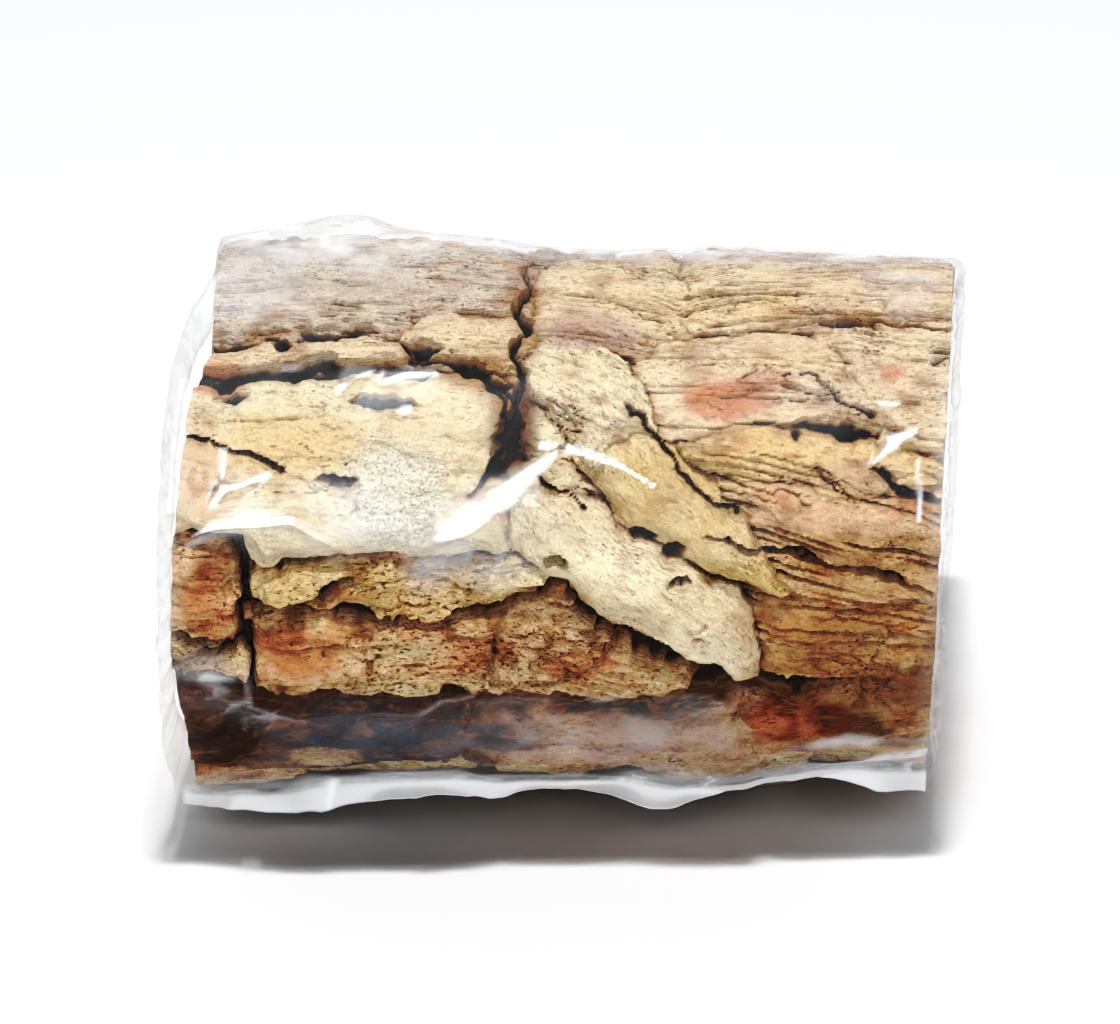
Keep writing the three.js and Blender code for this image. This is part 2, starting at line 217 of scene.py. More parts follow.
CREVICES = (
    Crevice(2.2, 1.0, ((-100, 30), (-83, 34), (-65, 37), (-51, 35), (-37, 34))),
    Crevice(1.1, 0.9, ((-12, 96), (-9, 88), (-13, 78), (-10, 68), (-14, 58))),
    Crevice(1.7, 1.0, ((-14, 58), (-11, 50), (-16, 44), (-13, 36), (-14, 28))),
    Crevice(1.6, 0.95, ((-42, 40), (-31, 38), (-24, 34), (-19, 28), (-17, 19), (-20, 11), (-26, 4))),
    Crevice(1.5, 1.0, ((-27, 37), (-20, 32), (-14, 26))),
    Crevice(3.4, 1.0, ((-14, 23), (-14, 17), (-18, 9))),
    Crevice(1.9, 1.0, ((-87, -8), (-84, -20), (-86, -36), (-83, -50))),
    Crevice(1.1, 0.8, ((-104, -35), (-95, -36), (-87, -37))),
    Crevice(1.7, 1.0, ((-87, -25), (-75, -26), (-66, -23), (-58, -18))),
    Crevice(1.5, 1.0, ((-62, -27), (-50, -30), (-41, -30), (-24, -27), (-9, -24), (-3, -19))),
    Crevice(
        3.8,
        1.0,
        ((-104, -50), (-87, -54), (-61, -53), (-39, -57), (-3, -56), (11, -57), (24, -57), (34, -55)),
    ),
    Crevice(2.5, 1.0, ((-3, -20), (1, -27), (8, -32), (18, -39), (29, -46), (41, -53))),
    Crevice(4.6, 1.0, ((34, -54), (44, -51), (52, -54), (60, -59), (69, -57), (77, -51))),
    Crevice(0.7, 0.8, ((57, 36), (64, 36), (70, 30), (77, 25))),
    Crevice(1.1, 0.9, ((78, 11), (86, 5), (94, 0), (99, -4))),
    Crevice(0.9, 0.9, ((36, -6), (48, -11), (61, -13), (74, -17), (94, -24))),
    Crevice(0.8, 0.7, ((15, 27), (24, 14), (33, 4), (42, -2))),
    Crevice(0.9, 0.7, ((64, 56), (80, 57), (101, 55))),
    Crevice(0.7, 0.6, ((31, 68), (46, 68), (60, 66))),
    Crevice(0.8, 0.7, ((-99, 18), (-90, 16), (-75, 10))),
    Crevice(0.8, 0.6, ((15, -34), (3, -44), (-15, -49))),
    Crevice(0.7, 0.5, ((-9, 8), (-2, 4), (4, 0))),
)

PITS = (
    Spot(-20, 32, 4.0, 3.0),
    Spot(3, -27, 5.0, 3.0),
    Spot(18, -8, 3.0, 1.8),
    Spot(27, -12, 3.4, 2.1),
    Spot(29, -18, 2.4, 1.8),
    Spot(-4, -12, 2.2, 1.8),
    Spot(46, -51, 7.0, 4.5),
    Spot(73, -53, 5.0, 2.6),
    Spot(70, 20, 13.0, 3.2),
    Spot(-30, -51, 6.0, 4.0),
    Spot(-50, 26, 10.0, 2.3),
    Spot(-87, 27, 5.0, 1.5),
    Spot(-66, 47, 5.0, 2.0),
    Spot(-76, 43, 3.0, 2.2),
    Spot(-60, 7, 5.5, 1.8),
    Spot(-38, 42, 6.0, 3.0),
)

PATCHES = (
    Patch(40, 29, 13, 6.5, Tone.RUST, 1.0),
    Patch(50, 34, 8, 3.5, Tone.RUST, 0.5),
    Patch(5, 52, 15, 9, Tone.PINK, 0.85),
    Patch(-15, 19, 8, 13, Tone.UMBER, 0.9),
    Patch(-25, 35, 10, 6, Tone.BROWN, 0.75),
    Patch(-19, 30, 9, 6, Tone.BROWN, 0.6),
    Patch(-18, -74, 18, 12, Tone.ASH, 0.6),
    Patch(14, -72, 34, 14, Tone.ASH, 0.3),
    Patch(-34, -84, 11, 7, Tone.PINK, 0.5),
    Patch(74, -70, 12, 12, Tone.CRUST_AND_SHADE, 0.7),
    Patch(86, -54, 14, 9, Tone.UMBER, 0.45),
    Patch(-12, 62, 5, 28, Tone.BROWN, 0.6),
    Patch(-44, -74, 40, 24, Tone.ASH, 0.93),
    # Painted shade: near-black over the band of the long crevice along the foot, where shade falls.
    Patch(16, -58, 32, 6, Tone.CRUST_AND_SHADE, 0.95),
    Patch(-26, -60, 18, 5, Tone.CRUST_AND_SHADE, 0.7),
    # Painted shade in part: near-black over the pit and crevice at the lower right.
    Patch(48, -53, 12, 6, Tone.CRUST_AND_SHADE, 0.9),
    Patch(-93, -14, 6, 4, Tone.EMBER, 0.7),
    Patch(-95, -25, 9, 9, Tone.RUST, 0.7),
    Patch(-71, -36, 13, 6, Tone.RUST, 0.65),
    Patch(-58, -23, 12, 3, Tone.RUST, 0.5),
    Patch(-44, -25, 16, 4, Tone.YELLOW, 0.5),
    Patch(-24, -37, 12, 5, Tone.RUST, 0.65),
    Patch(2, -42, 12, 5, Tone.RUST, 0.6),
    Patch(-6, -22, 14, 4, Tone.BROWN, 0.6),
    Patch(84, 38, 3.5, 3, Tone.RUST, 0.8),
    Patch(60, -68, 20, 11, Tone.EMBER, 0.95),
    Patch(52, -69, 6, 6, Tone.RUST, 0.85),
    Patch(63, -70, 3.5, 8, Tone.RUST, 0.5),
    Patch(66, -67, 4, 7, Tone.CRUST_AND_SHADE, 0.8),
    Patch(44, -72, 5, 4, Tone.CREAM, 0.6),
    Patch(57, -50, 9, 4, Tone.YELLOW, 0.8),
    Patch(-18, -14, 15, 8, Tone.PALE, 0.95),
    Patch(24, -66, 16, 7, Tone.ASH, 0.45),
    Patch(-8, -72, 12, 7, Tone.PINK, 0.6),
    Patch(-92, -72, 16, 19, Tone.CRUST_AND_SHADE, 0.75),
    Patch(-66, -88, 10, 6, Tone.TAN, 0.6),
    Patch(-46, 4, 17, 15, Tone.SPECKLED, 0.8),
    Patch(-74, 16, 22, 9, Tone.YELLOW, 0.7),
    Patch(-30, 22, 12, 10, Tone.PALE, 0.5),
    Patch(62, -36, 30, 14, Tone.BROWN, 0.5),
    Patch(80, -14, 26, 12, Tone.BROWN, 0.4),
    Patch(74, 8, 16, 5, Tone.PINK, 0.4),
    Patch(92, 46, 14, 10, Tone.PALE, 0.4),
    Patch(-95, 8, 8, 12, Tone.TAN, 0.7),
    Patch(-92, 32, 9, 6, Tone.RUST, 0.7),
    Patch(20, -72, 20, 9, Tone.PINK, 0.5),
    Patch(34, -38, 15, 9, Tone.IVORY, 0.9),
    Patch(12, -15, 14, 7, Tone.IVORY, 0.5),
    Patch(-60, 66, 40, 16, Tone.GREY, 0.5),
    Patch(34, 62, 30, 8, Tone.YELLOW, 0.4),
    Patch(74, 58, 20, 3, Tone.BROWN, 0.5),
)


@dataclass(frozen=True)
class BackRows:
    """Rows of plates over the back and the underside, drawn by a fixed rule."""

    count: int = 9
    first: float = 106.0
    last: float = GIRTH - 104.0
    reach: float = 112.0
    overlap: float = 2.1
    tones: tuple[Tone, ...] = (Tone.CREAM, Tone.TAN, Tone.YELLOW, Tone.GREY, Tone.CREAM, Tone.PINK, Tone.TAN)

    def plates(self) -> list[Plate]:
        """Return the plates, row by row."""
        pitch = (self.last - self.first) / self.count
        found = []
        for row in range(self.count):
            s = self.first + (row + 0.5) * pitch
            x = -132 + 30 * draw_one(row, 0, 5)
            k = 1
            while x < self.reach:
                half = 18 + 20 * draw_one(row, k, 6)
                tone = self.tones[int(draw_one(row, k, 12) * len(self.tones)) % len(self.tones)]
                found.append(
                    Plate(
                        x=x + half,
                        s=s - 4 + 8 * draw_one(row, k, 7),
                        length=self.overlap * half,
                        width=pitch * (0.84 + 0.4 * draw_one(row, k, 8)),
                        tilt=-9 + 18 * draw_one(row, k, 9),
                        rise=7.5 + 4.5 * draw_one(row, k, 10),
                        tone=tone,
                        ribs=0.2 + 0.6 * draw_one(row, k, 13),
                        parted=0.25 + 0.4 * draw_one(row, k, 14),
                    )
                )
                x += 2 * half
                k += 1
        return found


def draw(i: Array, j: Array, seed: int) -> Array:
    """Give a repeatable random number from 0 to 1 for each lattice point.

    Args:
        i: Whole numbers along the lattice.
        j: Whole numbers across it.
        seed: Which lattice.

    Returns:
        One number for each point.
    """
    mask = np.uint64(0xFFFFFFFF)
    mixed = (i.astype(np.int64) * 374761393 + j.astype(np.int64) * 668265263 + seed * 974634777) & 0xFFFFFFFF
    mixed = mixed.astype(np.uint64)
    mixed = ((mixed ^ (mixed >> np.uint64(13))) * np.uint64(1274126177)) & mask
    mixed = mixed ^ (mixed >> np.uint64(16))
    return mixed.astype(np.float64) / 4294967295.0


def draw_one(i: int, j: int, seed: int) -> float:
    """Give the random number of a single lattice point."""
    return float(draw(np.array([i]), np.array([j]), seed)[0])


def waves(x: Array, y: Array, seed: int, period: int = 0) -> Array:
    """Give smooth random waves from -1 to 1.

    Args:
        x: Place along the lattice.
        y: Place across the lattice.
        seed: Which waves.
        period: Where it isn't 0, y repeats after that many units.

    Returns:
        The waves at each point.
    """
    low_x = np.floor(x)
    low_y = np.floor(y)
    u = x - low_x
    v = y - low_y
    i = low_x.astype(np.int64)
    j = low_y.astype(np.int64)
    here, above = (j % period, (j + 1) % period) if period else (j, j + 1)
    u = u * u * u * (u * (u * 6 - 15) + 10)
    v = v * v * v * (v * (v * 6 - 15) + 10)
    low = draw(i, here, seed) * (1 - u) + draw(i + 1, here, seed) * u
    high = draw(i, above, seed) * (1 - u) + draw(i + 1, above, seed) * u
    return 2 * (low * (1 - v) + high * v) - 1


def roughness(x: Array, y: Array, seed: int, layers: int, gain: float, period: int = 0) -> Array:
    """Add waves that get twice as fine layer by layer.

    Args:
        x: Place along the lattice.
        y: Place across the lattice.
        seed: Which waves.
        layers: How many layers.
        gain: Height of each layer over the one before.
        period: Where it isn't 0, y repeats after that many units.

    Returns:
        The sum, from about -1 to 1.
    """
    total = np.zeros(np.broadcast(x, y).shape)
    weight = 0.0
    for layer in range(layers):
        finer = 2**layer
        share = gain**layer
        total += share * waves(x * finer, y * finer, seed + 17 * layer, period * finer)
        weight += share
    return total / weight


def smooth(low: float, high: float, value: Array) -> Array:
    """Rise smoothly from 0 at low to 1 at high."""
    t = np.clip((value - low) / (high - low), 0, 1)
    return t * t * (3 - 2 * t)


def at_x(line: Line, x: Array) -> Array:
    """Give the height of a line that is drawn as a graph."""
    return np.interp(x, *zip(*line))


def wrapped(s: Array) -> Array:
    """Bring a distance round the tube to within half a girth of the viewer's line."""
    return (s + GIRTH / 2) % GIRTH - GIRTH / 2


def parts_of(line: Line, x: Array, s: Array) -> Iterator[tuple[Array, Array, Array, Array]]:
    """Go along a line on the unrolled tube, one straight part after the other.

    Args:
        line: The line's points.
        x: Distance along the tube.
        s: Distance round it.

    Yields:
        For each part, how far each point lies off it in x and in s, whether the point is above it, and how
        far along the whole line the nearest place is, from 0 to 1.
    """
    ends = list(zip(line, line[1:]))
    lengths = [math.hypot(x1 - x0, s1 - s0) for (x0, s0), (x1, s1) in ends]
    run = 0.0
    for ((x0, s0), (x1, s1)), size in zip(ends, lengths):
        ex, es = (x1 - x0) / size, (s1 - s0) / size
        along = np.clip((x - x0) * ex + (s - s0) * es, 0, size)
        off_x = x - x0 - along * ex
        off_s = s - s0 - along * es
        yield off_x, off_s, off_s * ex - off_x * es > 0, (run + along) / sum(lengths)
        run += size


def terraced(height: Array, step: float, low: float, high: float) -> Array:
    """Break a height into steps, as where thin layers of cork have flaked off.

    Args:
        height: The smooth height.
        step: Height of one step.
        low: Share of a step where its riser begins.
        high: Share of a step where its riser ends.

    Returns:
        The stepped height.
    """
    level = height / step
    whole = np.floor(level)
    return (whole + smooth(low, high, level - whole)) * step


def blurred(values: Array, rows: int, columns: int) -> Array:
    """Average over a window, with the columns closed round the tube.

    Args:
        values: One value for each row and column.
        rows: Half the window along the rows.
        columns: Half the window along the columns.

    Returns:
        The averages.
    """
    wide = np.pad(values, ((rows, rows), (0, 0)), mode="edge")
    wide = np.pad(wide, ((0, 0), (columns, columns)), mode="wrap")
    total = np.cumsum(np.cumsum(np.pad(wide, ((1, 0), (1, 0))), axis=0), axis=1)
    high, across = 2 * rows + 1, 2 * columns + 1
    window = total[high:, across:] - total[:-high, across:]
    window = window - total[high:, :-across] + total[:-high, :-across]
    return window / (high * across)


@dataclass
class TubeForm:
    """The round form that the bark's relief and the film lie on."""

    oval_two: tuple[float, float] = (1.2, 0.6)
    oval_three: tuple[float, float] = (0.8, -1.1)
    cut_up: float = 4.0
    cut_front: float = -3.7
    worn_back: Line = (
        (-180, 0), (-120, 1), (-90, 3), (-55, 4.2), (-38, 1), (-7, 1), (10, 2), (24, 3), (33, 7), (45, 6),
        (54, 4.8), (75, 3), (110, 1.5), (150, 0), (180, 0),
    )
    film_drawn_in: Line = (
        (-180, 0), (30, 0), (42, 1.5), (52, 4.5), (60, 7), (72, 6), (90, 3.5), (120, 1.5), (160, 0),
        (180, 0),
    )

    def base_radius(self, x: Array, angle: Array) -> Array:
        """Give the radius under the relief. The taper leaves out the line that the tube lies on."""
        two = self.oval_two[0] * np.cos(2 * angle + self.oval_two[1])
        three = self.oval_three[0] * np.cos(3 * angle + self.oval_three[1])
        from_foot = np.pi - np.abs((angle + FACE_TILT + np.pi / 2) % (2 * np.pi) - np.pi)
        return FLOOR_RADIUS + two + three - TAPER * x * smooth(0.25, 0.8, from_foot)

    def cut_x(self, side: int, share: Array, angle: Array, film: bool = False) -> Array:
        """Give where an end lies along X.

        Args:
            side: -1 for the left end, and 1 for the right.
            share: Share of the mean radius at which it is wanted.
            angle: Angle up from the viewer's line.
            film: Whether it is the film's end, and not the bark's worn edge.

        Returns:
            The place along X.
        """
        plane = side * LENGTH / 2 + share * (self.cut_up * np.sin(angle) + self.cut_front * np.cos(angle))
        if side > 0:
            return plane
        turn = np.degrees((angle + np.pi) % (2 * np.pi) - np.pi)
        worn = self.film_drawn_in if film else self.worn_back
        return plane + share * at_x(worn, turn)

    def between_cuts(self, t: Array, share: float, angle: Array, film: bool = False) -> Array:
        """Give the place along X at a share t of the way from the left end to the right."""
        return self.cut_x(-1, share, angle, film) * (1 - t) + self.cut_x(1, share, angle) * t

    def points(self, x: Array, radius: Array, angle: Array, lowest: float) -> Array:
        """Place points in space.

        Args:
            x: Distance along the tube.
            radius: Distance from its axis.
            angle: Angle up from the viewer's line.
            lowest: Height that no point goes below.

        Returns:
            One row of three coordinates, in metres, for each point.
        """
        up = angle + FACE_TILT
        y = AXIS_Y - radius * np.cos(up)
        z = np.maximum(AXIS_HEIGHT + radius * np.sin(up), lowest)
        return np.stack([x + 0 * y, y, z], axis=-1) * MM


@dataclass
class ReliefSample:
    """What the bark is like at each point of a grid, with one array for each property.

    They are its height over the crevices' base, the number of its plate, how calm the plate is, the tone of
    the plates around it, and how far it lies in a groove.
    """

    height: Array
    number: Array
    calm: Array
    tint: Array
    lines: Array


@dataclass
class BarkRelief:
    """The plates, ridges and crevices of the outer bark, worked out by formula."""

    plates: list[Plate] = field(default_factory=lambda: [*PLATES, *BackRows().plates()])
    roundness: float = 2.6
    dome_fall: float = 0.12
    shoulder_low: float = 0.62
    shoulder_reach: float = 6.0
    layer_step: float = 1.3
    tint_blend: float = 2.4
    groove_pitch: float = 2.3
    groove_bend: float = 0.35
    groove_sag: float = 0.0016
    groove_depth: float = 2.0
    groove_crest: float = 0.6
    jag: Unevenness = Unevenness(height=1.2, along=5, turns=88, seed=91, layers=3, gain=0.7)
    ragged_x: Unevenness = Unevenness(height=2.6, along=8, turns=54, seed=12, layers=3, gain=0.6)
    ragged_s: Unevenness = Unevenness(height=2.2, along=8, turns=54, seed=22, layers=3, gain=0.6)
    chipped: Unevenness = Unevenness(height=1.6, along=16, across=4.5, seed=41, layers=3, gain=0.6)
    pitted: Unevenness = Unevenness(height=0.55, along=5, across=1.6, seed=71, layers=3, gain=0.6)
    floor_lumps: Unevenness = Unevenness(height=1.6, along=10, turns=70, seed=81, layers=3, gain=0.55)
    crack_width: Unevenness = Unevenness(height=0.9, along=26, turns=18, seed=51)
    parting: Unevenness = Unevenness(height=0.8, along=30, turns=22, seed=53)
    torn: Unevenness = Unevenness(height=0.5, along=6.5, turns=90, seed=94, layers=3, gain=0.6)
    gaping: Unevenness = Unevenness(height=1.0, along=9, turns=50, seed=95, layers=2, gain=0.6)
    wobble_x: Unevenness = Unevenness(height=2.6, along=6, turns=74, seed=92, layers=3, gain=0.6)
    wobble_s: Unevenness = Unevenness(height=2.2, along=6, turns=74, seed=93, layers=3, gain=0.6)

    def nearest(self, x: Array, s: Array) -> dict[str, Array]:
        """Find which plate each point belongs to, and how far it lies from the plate's edge.

        Args:
            x: Distance along the tube.
            s: Distance round it.

        Returns:
            Arrays for the plate's number, the share of the way to its edge, places along and across it, its
            rise, how far it and the next plate are parted, the distance to the next plate, and the tint.
        """
        shape = x.shape
        power = self.roundness
        first, second = np.full(shape, FAR), np.full(shape, FAR)
        number = np.zeros(shape, int)
        kept = {name: np.zeros(shape) for name in ("along", "across", "rise", "parted", "parted_next")}
        tint = np.zeros(shape + (3,))
        weight = np.zeros(shape)
        slopes = {name: np.zeros(shape) for name in ("x1", "s1", "x2", "s2")}
        for k, plate in enumerate(self.plates):
            turn = math.radians(plate.tilt)
            cos, sin = math.cos(turn), math.sin(turn)
            dx = x - plate.x
            ds = wrapped(s - plate.s)
            along = dx * cos + ds * sin
            across = ds * cos - dx * sin
            a = np.abs(along) * 2 / plate.length + 1e-6
            b = np.abs(across) * 2 / plate.width + 1e-6
            share = (a**power + b**power) ** (1 / power)
            steep = share ** (1 - power)
            slope_a = np.sign(along) * steep * a ** (power - 1) * 2 / plate.length
            slope_b = np.sign(across) * steep * b ** (power - 1) * 2 / plate.width
            found = {"x": slope_a * cos - slope_b * sin, "s": slope_a * sin + slope_b * cos}
            near = share < first
            next_one = ~near & (share < second)
            for axis, slope in found.items():
                slopes[axis + "2"] = np.where(near, slopes[axis + "1"], slopes[axis + "2"])
                slopes[axis + "2"] = np.where(next_one, slope, slopes[axis + "2"])
                slopes[axis + "1"] = np.where(near, slope, slopes[axis + "1"])
            farther = np.where(next_one, plate.parted, kept["parted_next"])
            kept["parted_next"] = np.where(near, kept["parted"], farther)
            blend = np.exp(-self.tint_blend * share**2)
            tint += blend[..., None] * plate.tone.linear()
            weight += blend
            second = np.where(near, first, np.where(next_one, share, second))
            first = np.where(near, share, first)
            number[near] = k
            kept["along"][near] = along[near]
            kept["across"][near] = across[near]
            kept["rise"][near] = plate.rise
            kept["parted"][near] = plate.parted
        steepness = np.hypot(slopes["x2"] - slopes["x1"], slopes["s2"] - slopes["s1"])
        edge = (second - first) / np.maximum(steepness, 0.02)
        tint /= np.maximum(weight, 1e-9)[..., None]
        return {**kept, "number": number, "share": first, "edge": edge, "tint": tint}

    def opened(self, x: Array, s: Array) -> Array:
        """Give how far each point is opened up by the drawn crevices and pits, from 0 to 1."""
        opened = np.zeros(x.shape)
        torn = self.torn.at(x, s)
        width = np.clip(1 + self.gaping.at(x, s), 0.45, 1.8)
        for crevice in CREVICES:
            nearest = np.full(x.shape, FAR)
            for off_x, off_s, _, _ in parts_of(crevice.line, x, s):
                nearest = np.minimum(nearest, np.hypot(off_x, off_s))
            away = nearest / (crevice.half * width) + torn
            opened = np.maximum(opened, crevice.depth * (1 - smooth(0.2, 1.3, away)))
        for pit in PITS:
            opened = np.maximum(opened, 1 - smooth(0.4, 1.15, pit.away(x, s) + torn))
        return opened

    def fissures(self, along: Array, across: Array, offset: Array) -> Array:
        """Give the depth of the hair cracks that run over the plates."""
        long_line = roughness(along / 36 + offset, across / 6 + 3 * offset, 61, 3, 0.5)
        long_here = smooth(0.05, 0.35, waves(along / 20 + offset, across / 9, 62))
        short_line = roughness(along / 10 + offset, across / 15 + 5 * offset, 63, 3, 0.55)
        short_here = smooth(0.35, 0.6, waves(along / 14 - offset, across / 14, 64))
        long_depth = 2.6 * (1 - smooth(0.005, 0.055, np.abs(long_line))) * long_here
        short_depth = 1.5 * (1 - smooth(0.005, 0.045, np.abs(short_line))) * short_here
        return long_depth + short_depth

    def of_plates(self, name: str, number: Array) -> Array:
        """Give a property of the plate that each point belongs to."""
        return np.array([getattr(plate, name) for plate in self.plates])[number]

    def on_plate(self, x: Array, s: Array, number: Array, bend: Array | float = 0.0) -> tuple[Array, Array]:
        """Give each point's place along and across its plate.

        Args:
            x: Distance along the tube.
            s: Distance round it.
            number: Number of each point's plate.
            bend: How far the plate's own lines are bent aside.

        Returns:
            The distances along and across, from the plate's middle.
        """
        turn = np.radians(self.of_plates("tilt", number))
        dx = x - self.of_plates("x", number)
        ds = wrapped(s - self.of_plates("s", number)) + bend
        return dx * np.cos(turn) + ds * np.sin(turn), ds * np.cos(turn) - dx * np.sin(turn)

    def strata(self, x: Array, s: Array, number: Array) -> Array:
        """Give how far each point lies in one of the long grooves that run along its plate, from 0 to 1."""
        along, across = self.on_plate(x, s, number, self.groove_bend * WANDER_S.at(x, s))
        across += self.groove_sag * along**2
        phase = across / self.groove_pitch + 0.5 * roughness(along / 45, across / 7, 111, 3, 0.5)
        here = smooth(-0.35, 0.25, waves(along / 26 + number * 1.7, across / 2.4, 112))
        return (1 - smooth(0.12, 0.5, np.abs((phase % 1) - 0.5) * 2)) * here

    def sample(self, x: Array, s: Array) -> ReliefSample:
        """Work out the relief.

        Args:
            x: Distance along the tube.
            s: Distance round it.

        Returns:
            The height over the crevices' base and what goes with it.
        """
        bent_x = x + WANDER_X.at(x, s) + self.ragged_x.at(x, s)
        bent_s = s + WANDER_S.at(x, s) + self.ragged_s.at(x, s)
        near = self.nearest(bent_x, bent_s)
        along, across, number = near["along"], near["across"], near["number"]
        offset = number * PLATE_STEP
        dome = near["rise"] * (1 - self.dome_fall * np.clip(near["share"], 0, 1.5) ** 3)
        lump = LUMPS.at(along + offset * LUMPS.along, across + offset * LUMPS.across)
        edge = near["edge"] + self.jag.at(x, s)
        apart = smooth(0, 0.5, near["parted"] + near["parted_next"] - 1 + self.parting.at(x, s))
        low = 1 - (1 - self.shoulder_low) * (0.4 + 0.6 * apart)
        shoulder = low + (1 - low) * smooth(0, self.shoulder_reach, edge)
        calm = self.of_plates("calm", number)
        chipped = self.chipped
        chips = chipped.at(along + offset * chipped.along, across - offset * chipped.across) * (1 - 0.5 * calm)
        whole = (dome + lump) * shoulder + chips
        flaked = 0.75 * (1 - 0.5 * calm)
        height = (1 - flaked) * whole + flaked * terraced(whole, self.layer_step, 0.45, 0.75)
        height -= self.fissures(along, across, offset) * (1 - 0.65 * calm)
        height += self.pitted.at(along, across) * (1 - 0.35 * calm)
        ribs = self.of_plates("ribs", number)
        lines = self.strata(x, s, number)
        height -= ribs * (self.groove_depth * lines - self.groove_crest)
        crack = np.clip(self.crack_width.at(x, s) - 0.1, -0.6, 0.8)
        wall = smooth(0, 1.2, edge - crack)
        opened = self.opened(x + self.wobble_x.at(x, s), s + self.wobble_s.at(x, s))
        keep = np.minimum(1 - 0.85 * (1 - wall) * apart, 1 - opened)
        floor = 1.0 + self.floor_lumps.at(x, s)
        height = floor + np.maximum(height - floor, 0.3) * keep
        return ReliefSample(height, number, calm, near["tint"], lines * np.clip(ribs - 0.3, 0, 1))


# How readily plates of each tone are stained with rust and umber.
WARMTH = {Tone.TAN: 1.0, Tone.BROWN: 0.8, Tone.YELLOW: 0.8, Tone.CREAM: 0.3, Tone.PINK: 0.5, Tone.UMBER: 0.2}
LEAST_WARMTH = 0.15


@dataclass
class BarkColour:
    """The colour of the outer bark at each point, before the fine grain of the finish."""

    ragged: Unevenness = Unevenness(height=0.34, along=9, turns=48, seed=131, layers=4, gain=0.62)
    drift: Unevenness = Unevenness(height=1.0, along=20, turns=24, seed=141, layers=3, gain=0.6)
    mottle: Unevenness = Unevenness(height=1.0, along=8, turns=110, seed=241, layers=3, gain=0.75)
    stain: Unevenness = Unevenness(height=1.0, along=11, turns=64, seed=251, layers=4, gain=0.65)
    fleck: Unevenness = Unevenness(height=1.0, along=13, across=9, seed=281, layers=2, gain=0.6)
    speckled: Spot = Spot(-46, 6, 18, 15)
    edge: tuple[float, float] = (0.6, 1.15)
    lasting: float = 0.6

    def tint(self, x: Array, s: Array, relief: ReliefSample, plates: list[Plate]) -> Array:
        """Mix the plates' tones with the stains and the patches of painted shade that lie over them.

        Args:
            x: Distance along the tube.
            s: Distance round it.
            relief: The relief at the same points.
            plates: The plates that it numbers.

        Returns:
            Linear red, green and blue at each point.
        """
        own = np.array([plate.tone.linear() for plate in plates])[relief.number]
        warmth = np.array([WARMTH.get(plate.tone, LEAST_WARMTH) for plate in plates])[relief.number]
        lively = 1 - 0.6 * relief.calm
        drift = self.drift.at(x, s)
        mottle = self.mottle.at(x, s)
        stain = self.stain.at(x, s)
        colour = self._stains_and_shade(0.6 * own + 0.4 * relief.tint, x, s, 1.0)
        fair = smooth(0.03, 0.22, colour.mean(axis=-1))
        washes = (
            (Tone.TAN, 0.5 * smooth(0.05, 0.5, drift) * lively * fair),
            (Tone.PALE, 0.35 * smooth(0.0, 0.5, -drift) * fair),
            (Tone.RUST, 0.6 * smooth(0.15, 0.5, stain) * warmth),
            (Tone.BROWN, 0.8 * smooth(0.05, 0.45, mottle) * lively),
            (Tone.UMBER, 0.75 * smooth(0.25, 0.6, mottle + 0.3 * stain) * lively * warmth),
            (Tone.YELLOW, 0.6 * smooth(0.1, 0.45, -mottle) * lively * warmth * fair),
            (Tone.PALE, 0.4 * smooth(0.2, 0.6, -mottle) * lively * fair),
            # Painted shade in part: the long grooves are darkened to umber, partly their dark cork, partly
            # painted shade.
            (Tone.UMBER, 0.75 * relief.lines),
        )
        for tone, share in washes:
            colour = self._over(colour, tone, share)
        return self._stains_and_shade(colour, x, s, self.lasting)

    def _stains_and_shade(self, colour: Array, x: Array, s: Array, share: float) -> Array:
        """Lay the stains and the patches of painted shade over a colour by a share of their strength."""
        ragged = self.ragged.at(x, s)
        for patch in PATCHES:
            within = 1 - smooth(*self.edge, patch.away(x, s) + ragged)
            colour = self._over(colour, patch.tone, share * patch.strength * within)
        return colour

    def skin(self, x: Array, s: Array, relief: ReliefSample) -> Array:
        """Give how lively the grain is and how speckled the skin, at each point."""
        lively = 1 - 0.6 * relief.calm + 0.5 * self.fleck.at(x, s)
        main = 1 - smooth(0.5, 1.2, self.speckled.away(x, s) + self.ragged.at(x, s))
        elsewhere = 0.3 * smooth(0.0, 0.6, self.fleck.at(s, x))
        return np.stack([np.clip(lively, 0, 1.3), np.maximum(main, elsewhere), 0 * x], axis=-1)

    @staticmethod
    def _over(colour: Array, tone: Tone, share: Array) -> Array:
        """Lay a tone over a colour by a share at each point."""
        return colour + (tone.linear() - colour) * share[..., None]


